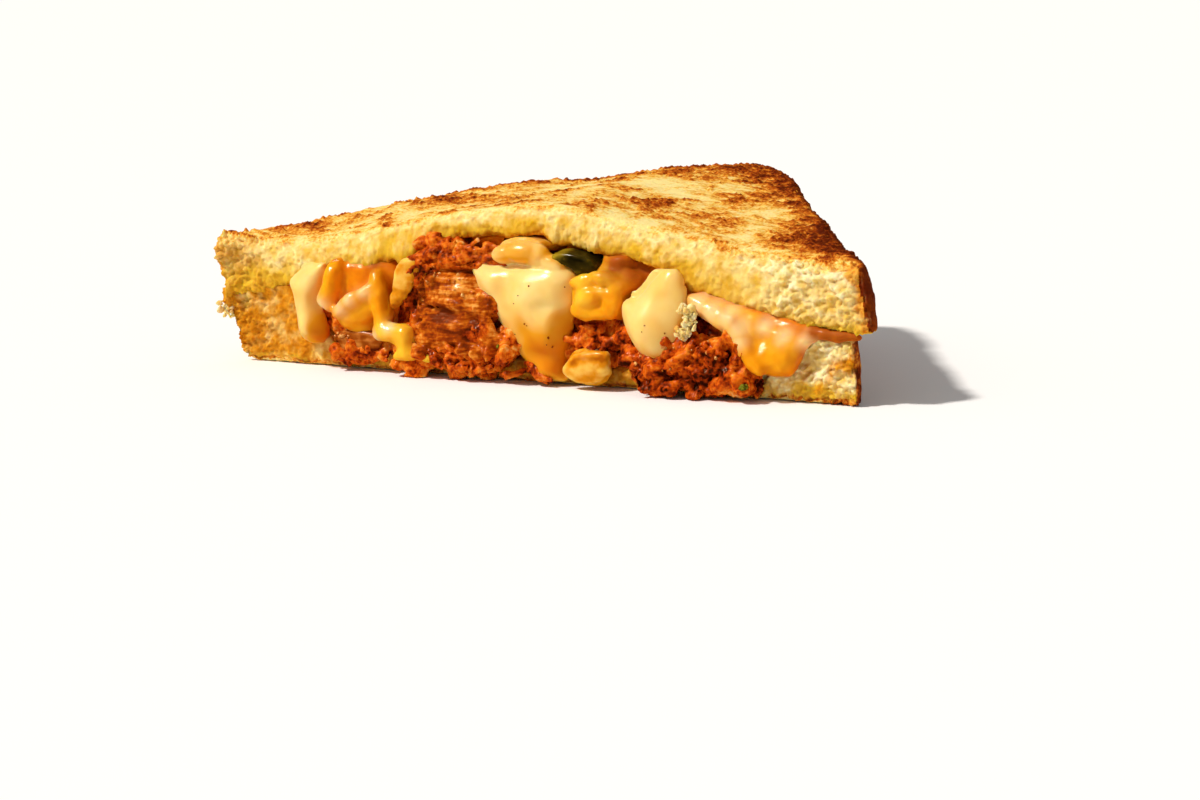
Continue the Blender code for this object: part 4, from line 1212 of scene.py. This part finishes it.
folds += [
    lump(15.4, -2.4, 21.8, 3.4, 1.6, 1.7, -12), lump(20.4, -2.5, 22.8, 3.6, 1.5, 1.4, 6),
    lump(17.0, -2.8, 18.6, 3.8, 1.8, 2.2, -26), lump(22.4, -2.4, 17.4, 2.2, 1.7, 3.2, 15),
    lump(15.4, -2.4, 15.6, 2.8, 1.6, 1.9, 20), lump(23.6, -2.0, 21.0, 3.2, 1.5, 1.5, -14),
    lump(20.6, -2.6, 19.8, 2.2, 1.5, 1.2, 30), lump(22.4, 0.8, 25.6, 3.4, 1.8, 1.6),
    lump(19.0, -2.0, 15.8, 3.4, 1.6, 1.9),
]
folds += string((40.0, -1.0, 18.8, 1.8), (44.0, -1.6, 17.2, 2.2), (49.0, -2.0, 15.2, 2.4),
                (51.6, -2.6, 12.2, 2.1), (53.6, -3.0, 9.0, 1.9), (55.8, -3.2, 6.9, 1.7))
folds += string((54.0, 0.2, 16.0, 1.4), (62.0, 0.5, 14.5, 1.5), (70.0, 0.8, 13.5, 1.3),
                (75.0, 1.2, 13.4, 0.8))
print("curtains, lumps and strings:", len(folds))

# %% [markdown]
# Once melted, the cheese gets its dents. Then each point learns how thin, milky or yellow the
# cheese is there, and where shade is painted on. It is thin towards the back, and at edges that face
# right or down, away from the lamp, its amber is painted shade. Dark spots are painted shade in the
# hollows under the bread and between the slices, and one pale spot on the yellow drop is a painted
# highlight; the rest of the pale spots are milky cheese.

# %% Melt the cheese together
CHEESE_VOXEL = 0.44
cheese = run_together(back_of("melted_cheese", "cheese", 0.6), folds, CHEESE_VOXEL, 10)
press(cheese, (
    (47.0, 13.6, 1.6, 1.0, 0.4), (57.0, 12.4, 3.0, 1.2, 0.5), (-40.0, 24.8, 12.0, 2.2, 2.8),
    (19.4, 20.8, 2.6, 0.6, 0.5), (-31.6, 16.4, 0.8, 2.4, 1.2), (-38.6, 19.8, 2.6, 1.6, 0.5),
    (30.0, 24.6, 5.0, 2.4, 2.4), (-9.0, 26.4, 5.0, 2.4, 2.0), (-29.0, 24.0, 4.0, 2.4, 1.6),
), 0.26, 2.6)

# The last pale spot, on the yellow drop, is a painted highlight; the others are milky cheese.
PALE_SPOTS = (
    (-48.4, 14.0, 1.7), (-43.0, 13.6, 1.7), (-40.4, 15.6, 1.5), (-37.0, 17.4, 1.4), (-34.6, 8.0, 1.4),
    (41.8, 18.6, 2.4), (45.2, 17.4, 2.5), (48.8, 16.4, 2.6), (51.4, 14.6, 2.2), (52.0, 11.8, 1.5),
    (56.4, 15.0, 1.8), (60.4, 13.4, 1.7), (65.0, 12.4, 1.8), (-30.4, 10.2, 1.3),
)
# Painted shade: dark spots in the hollows under the bread, in gaps of the left curtain and in the film
# between the slices.
SHADE_SPOTS = (
    (22.6, 25.4, 3.2), (26.6, 25.0, 4.0), (30.6, 23.8, 4.0), (30.6, 20.6, 3.0), (-36.6, 22.6, 1.8),
    (-30.8, 16.6, 1.6), (66.4, 14.4, 1.8), (69.0, 13.8, 2.6), (72.0, 13.6, 2.6), (75.0, 13.4, 2.6),
)
YELLOW_SPOTS = (
    (-32.0, 9.0, 2.4), (-27.4, 8.8, 2.8), (-26.8, 5.4, 2.4), (-28.6, 3.8, 2.4), (-22.0, 4.4, 2.4),
    (15.6, 22.4, 2.6), (20.6, 23.2, 2.8), (16.0, 18.8, 2.2), (47.0, 14.6, 1.8),
)
points, normals = read_mesh(cheese)
# Painted shade: edges that face right or down, away from the lamp, count as thin and turn amber.
thin_edge = 0.5 * ease(0.2, 0.9, normals[:, 0]) + 0.6 * ease(0.2, 0.9, -normals[:, 2])
store(cheese, "pale", near_spots(points, PALE_SPOTS))
store(cheese, "yellow", near_spots(points, YELLOW_SPOTS))
store(cheese, "recess_shade", 1.3 * near_spots(points, SHADE_SPOTS))
store(cheese, "thin", thin_edge + 0.8 * ease(-2.2, -0.6, points[:, 1]))
print("cheese: %d points" % len(points))

# %% Melted cheddar
cheese_finish, shader, node, place = new_material("melted_cheddar_cheese")
broad, narrow = node("TexNoise", grains(place, 4.0)), node("TexNoise", grains(place, 3.0))
thick = node("ValToRGB", {"Fac": broad}, ((0.3, "#ec9006"), (0.7, "#f8aa12")))
thin = node("ValToRGB", {"Fac": narrow}, ((0.3, "#cc5c00"), (0.7, "#ec8404")))
pulled = node("TexNoise", grains(node("Mapping", {"Vector": place, "Scale": (0.4, 1.0, 1.0)}), 1.5))
# Painted shade: dark brown at the shade spots, where the cheese is also rougher and less glossy.
recess_shade = node("Attribute", attribute_name="recess_shade", out="Fac")
fill(shader, {
    "Base Color": layered(
        node, thick, ("thin", thin), ("yellow", hue("#fbc634")), ("pale", hue("#fad494")),
        ("recess_shade", hue("#a85006")),
    ),
    "Normal": node("Bump", {"Height": pulled, "Strength": 0.25, "Distance": 0.35 * MM}),
    "Roughness": node("Math", {0: recess_shade, 1: 0.3, 2: 0.32}, operation="MULTIPLY_ADD"),
    "Coat Weight": node("Math", {0: recess_shade, 1: -0.3, 2: 0.34}, operation="MULTIPLY_ADD"),
    "Specular IOR Level": 0.2, "Coat Roughness": 0.1,
    "Subsurface Weight": 0.5, "Subsurface Radius": (1.0, 0.38, 0.05), "Subsurface Scale": 1.8 * MM,
})
finish_piece(cheese, "cheese_folds", cheese_finish, "melted_cheese", "melted_cheese")

# %% [markdown]
# ## Pepper and onion
# A ring of green pepper, roasted until its skin went dark, and pieces of onion cooked soft and
# see-through in the sauce. The pepper is a smoothed copy of its solid, squashed by the slice on it.
# The slice and the strip of onion are pillows melted with the backs of their solids, and a brown
# sliver below the cheese is two lumps. All get the wrinkles that cooking leaves.

# %% Wrinkles and layers


def wrinkled(obj, wrinkle, size, tone=lambda points: 0.0):
    """Folds along x, and how high each point stands on them, with painted light on faces that turn up and a
    tone added, for the colours.
    """
    points, normals = read_mesh(obj)
    folds = unevenness(points, size, 3, (2.6, 1.0, 0.8))
    move_points(obj, points + normals * (wrinkle * folds)[:, None])
    # Painted light and shade: faces that turn up are lighter, faces that turn down darker.
    top_light = 0.3 * ease(-0.4, 0.6, normals[:, 2]) - 0.15
    store(obj, "ridge", 0.5 + 0.5 * folds + top_light + tone(points))


def onion_layers(points):
    """An onion's layers seen end on: a pale rim, a dark line inside it, an amber middle and a painted
    highlight towards its right end.
    """
    inside = depth_inside(points[:, [0, 2]], smooth_loop(ONION_OUTLINE))
    inside = inside + 0.7 * unevenness(points, 2.6, 2, seed=4)
    line = np.exp(-((inside - 1.7) / 0.5) ** 2)
    # Painted highlight: the right end is paler.
    right_glint = 0.1 * ease(18.0, 21.0, points[:, 0])
    return 0.16 * ease(1.5, 0.4, inside) - 0.12 * line * (points[:, 1] < -3.0) + right_glint


# %% Model the vegetables
VEGETABLE_VOXEL = 0.3
SQUASH = 0.74
ONION_OUTLINE = (
    (10.8, 3.4), (11.8, 5.6), (13.8, 7.5), (16.8, 8.3), (20.2, 8.6), (22.0, 7.6), (22.2, 5.0),
    (21.0, 2.6), (17.4, 1.0), (13.2, 1.6),
)
pepper = copy_of_solid("green_pepper", "pepper")
melt(pepper, VEGETABLE_VOXEL, 10)
points, _ = read_mesh(pepper)
foot = points[:, 2].min()
points[:, 2] = foot + SQUASH * (points[:, 2] - foot)
move_points(pepper, points)
wrinkled(pepper, 0.25, 2.6, lambda points: 0.45 * ease(14.0, 9.5, points[:, 0]) - 0.18)
onion = run_together(back_of("onion_piece", "onion", -2.6), [
    pillow(ONION_OUTLINE, -2.4, 1.7, 1.5, ((17.0, 5.0, 3.4, 2.0, 0.6),)),
], VEGETABLE_VOXEL, 6)
wrinkled(onion, 0.22, 3.2, onion_layers)
strip = run_together(back_of("onion_strip", "strip", -3.0), [pillow(
    ((-29.3, 23.4), (-27.6, 24.8), (-25.0, 25.2), (-22.2, 24.4), (-23.0, 22.2), (-24.9, 19.7),
     (-26.2, 17.4), (-28.2, 15.2), (-30.2, 13.5), (-31.4, 14.0), (-31.5, 16.2), (-30.6, 18.9),
     (-29.9, 21.5)),
    -2.4, 1.3, 1.3,
)], VEGETABLE_VOXEL, 8)
wrinkled(strip, 0.25, 3.0, lambda points: 0.06)
sliver = run_together(
    lump(-40.6, -1.8, 6.6, 6.4, 1.3, 2.6), [lump(-40.4, -2.3, 5.2, 5.8, 1.0, 1.3)], VEGETABLE_VOXEL, 8
)
wrinkled(sliver, 0.12, 2.0)
print("onion slice: %.0f mm wide" % np.ptp(read_mesh(onion)[0][:, 0]))

# %% [markdown]
# The pepper's skin is waxy and nearly black where it roasted, with olive ridges. Cooked onion is
# full of juice and lets light far in, so it glows amber, and veins run through it.

# %% Cooked vegetable skins


def vegetable_material(name, glow, rough, *stops):
    """Cooked vegetable skin: stops run from its folds to its ridges and to faces that turn up, which carry
    painted light; glow is how far light goes in.
    """
    mat, shader, node, place = new_material(name)
    veins = node("TexNoise", grains(place, 1.8, 3.0))
    ridge = node("Attribute", attribute_name="ridge", out="Fac")
    most = node("Math", {0: ridge, 1: 0.6}, operation="MULTIPLY")
    level = node("Math", {0: veins, 1: 0.4, 2: most}, operation="MULTIPLY_ADD")
    fill(shader, {
        "Base Color": node("ValToRGB", {"Fac": level}, stops),
        "Normal": node("Bump", {"Height": veins, "Strength": 0.1, "Distance": 0.3 * MM}),
        "Roughness": rough, "Coat Weight": 0.2, "Coat Roughness": 0.14,
        "Subsurface Weight": glow, "Subsurface Radius": (1.0, 0.5, 0.12), "Subsurface Scale": 1.5 * MM,
    })
    return mat


pepper_finish = vegetable_material(
    "roasted_green_pepper", 0.1, 0.36, (0.3, "#100c01"), (0.85, "#a08418"), (0.56, "#382c04")
)
onion_finish = vegetable_material(
    "soft_cooked_onion", 0.5, 0.3, (0.3, "#b05c06"), (0.75, "#f3c45a"), (0.52, "#de8f14")
)
brown_onion_finish = vegetable_material(
    "onion_browned_in_sauce", 0.4, 0.2, (0.3, "#5c1e04"), (0.8, "#d98a3c"), (0.55, "#96480c")
)
finish_piece(pepper, "pepper_ring", pepper_finish, "green_pepper", "green_pepper")
finish_piece(onion, "onion_slice", onion_finish, "pale_onion", "onion_piece")
finish_piece(strip, "onion_ribbon", onion_finish, "pale_onion", "onion_strip")
finish_piece(sliver, "onion_sliver", brown_onion_finish, "pale_onion")

# %% [markdown]
# ## Small things
# What a knife and a hot plate leave behind: a torn clump of crumb beside the right drip, a tuft of
# crumbs that hangs from the left tip, flecks of chilli in the sauce, drops of fat on the meat, and
# bits of herb. All but the crumbs are scattered where a ray from the front meets the food.

# %% Place small things on the front
RAY_START, DEEPEST = -20.0, 4.0


def on_front(obj, x, z):
    """The y at which a ray from the front meets the object at this x and z, or None."""
    hit, place, _, _ = obj.ray_cast(spot(x, RAY_START, z), Vector((0.0, 1.0, 0.0)))
    return measured(place)[1] if hit else None


def spread(obj, centres, count, reach, seed):
    """Points on the front of the object, count of them round each centre (x, z), and their normals."""
    rng = random.Random(seed)
    points = []
    for x, z in centres:
        for _ in range(count):
            u, w = x + rng.gauss(0.0, reach), z + rng.gauss(0.0, reach)
            y = on_front(obj, u, w)
            if y is not None and y < DEEPEST:
                points.append((u, y, w))
    return points, [(0.0, -1.0, 0.0)] * len(points)


def small_pieces(name, parts, small, large, seed, sink, uneven=0.4):
    """Crumbs of one kind: parts are pairs of points and normals."""
    points = [p for part in parts for p in part[0]]
    normals = [n for part in parts for n in part[1]]
    places = crumb_places(points, normals, small, large, seed, sink, uneven)
    return copies(crumb_model, places, name)


def gathered(rng, places, y, loose_x, loose_y, loose_z):
    """Points that hang together round these places (x, z) at this y, and normals that face the front."""
    points = [
        (x + rng.gauss(0, loose_x), y + rng.gauss(0, loose_y), z + rng.gauss(0, loose_z)) for x, z in places
    ]
    return points, [(0.0, -1.0, 0.0)] * len(points)


# %% Scatter them
TORN = ((39.6, 17.8), (41.2, 17.8), (41.0, 16.2), (41.8, 15.6), (40.6, 14.4), (40.2, 13.0), (39.2, 12.8))
TUFT = ((-78.6, 11.4), (-77.6, 10.6), (-77.0, 12.0), (-76.4, 10.0))
rng = random.Random(31)
clump = gathered(rng, TORN * 20, -4.4, 0.5, 0.5, 0.5)
tuft = gathered(rng, TUFT * 9, 1.5, 0.7, 1.0, 0.5)
crumbs = small_pieces("crumbs", (clump, tuft), 0.24, 0.66, 36, 0.2, 0.62)
specks = small_pieces("specks", (
    spread(centre_drip, ((3.0, 18.0), (13.0, 21.0), (8.0, 9.6), (1.0, 12.0), (12.4, 12.2)), 3, 1.4, 41),
    spread(right_drip, ((36.0, 12.0), (37.0, 9.0), (32.0, 13.0)), 2, 1.2, 42),
), 0.12, 0.26, 43, 0.3)
fat = small_pieces("fat", (
    spread(sliver, ((-45.6, 7.6), (-44.0, 7.6)), 9, 0.9, 51),
    spread(meat_front, ((-20.0, 22.0), (-14.0, 20.6), (44.0, 11.0), (30.0, 8.0), (36.0, 8.4)), 6, 1.6, 52),
), 0.2, 0.5, 53, 0.2)
herbs = small_pieces("herbs", (
    spread(centre_drip, ((13.2, 6.4),), 5, 0.5, 61),
    spread(meat_front, ((-3.6, 8.0), (54.0, 3.0)), 2, 0.4, 62),
), 0.3, 0.6, 63, 0.2)
print("clump %d, tuft %d points" % (len(clump[0]), len(tuft[0])))

# %% [markdown]
# The bread crumbs share the colours of the torn crumb, as numbers stored at their points. Chilli
# flecks are matte, fat is clear and bright, and the herb is a dull cooked green.

# %% Finishes of the small things
points, _ = read_mesh(crumbs)
store(crumbs, "crumb", np.ones(len(points)))
store(crumbs, "dry", 0.8 + 0.5 * unevenness(points, 3.0, 2))
store(crumbs, "butter", 0.05 + 0.5 * unevenness(points, 4.0, 2, seed=5))
store(crumbs, "sauced", 0.05 + 0.6 * unevenness(points, 2.0, 2, seed=6))


def small_material(name, low, high, rough, size, coat=0.0):
    """A plain small piece: two tones in patches of this size."""
    mat, shader, node, place = new_material(name)
    tones = node("ValToRGB", {"Fac": node("TexNoise", grains(place, size))}, ((0.35, low), (0.65, high)))
    fill(shader, {"Base Color": tones, "Roughness": rough, "Coat Weight": coat})
    return mat


fat_finish = small_material("clear_pork_fat", "#b4560c", "#f0b060", 0.06, 1.0, 0.6)
chilli_finish = small_material("ground_chilli", "#6e2604", "#a85410", 0.7, 0.4)
herb_finish = small_material("cooked_herb", "#3a4208", "#8f8a20", 0.4, 0.5)
finish_piece(crumbs, "loose_crumbs", bread_finish, "toasted_bread")
finish_piece(specks, "chilli_specks", chilli_finish, "creamy_sauce")
finish_piece(fat, "fat_drops", fat_finish, "pulled_meat")
finish_piece(herbs, "herb_bits", herb_finish, "green_pepper")

# %% [markdown]
# The crumb and the strand were only patterns for the copies, so they are taken out of the scene.

# %% Put the patterns away
for pattern in (crumb_model, strand_model):
    bpy.data.objects.remove(pattern, do_unlink=True)
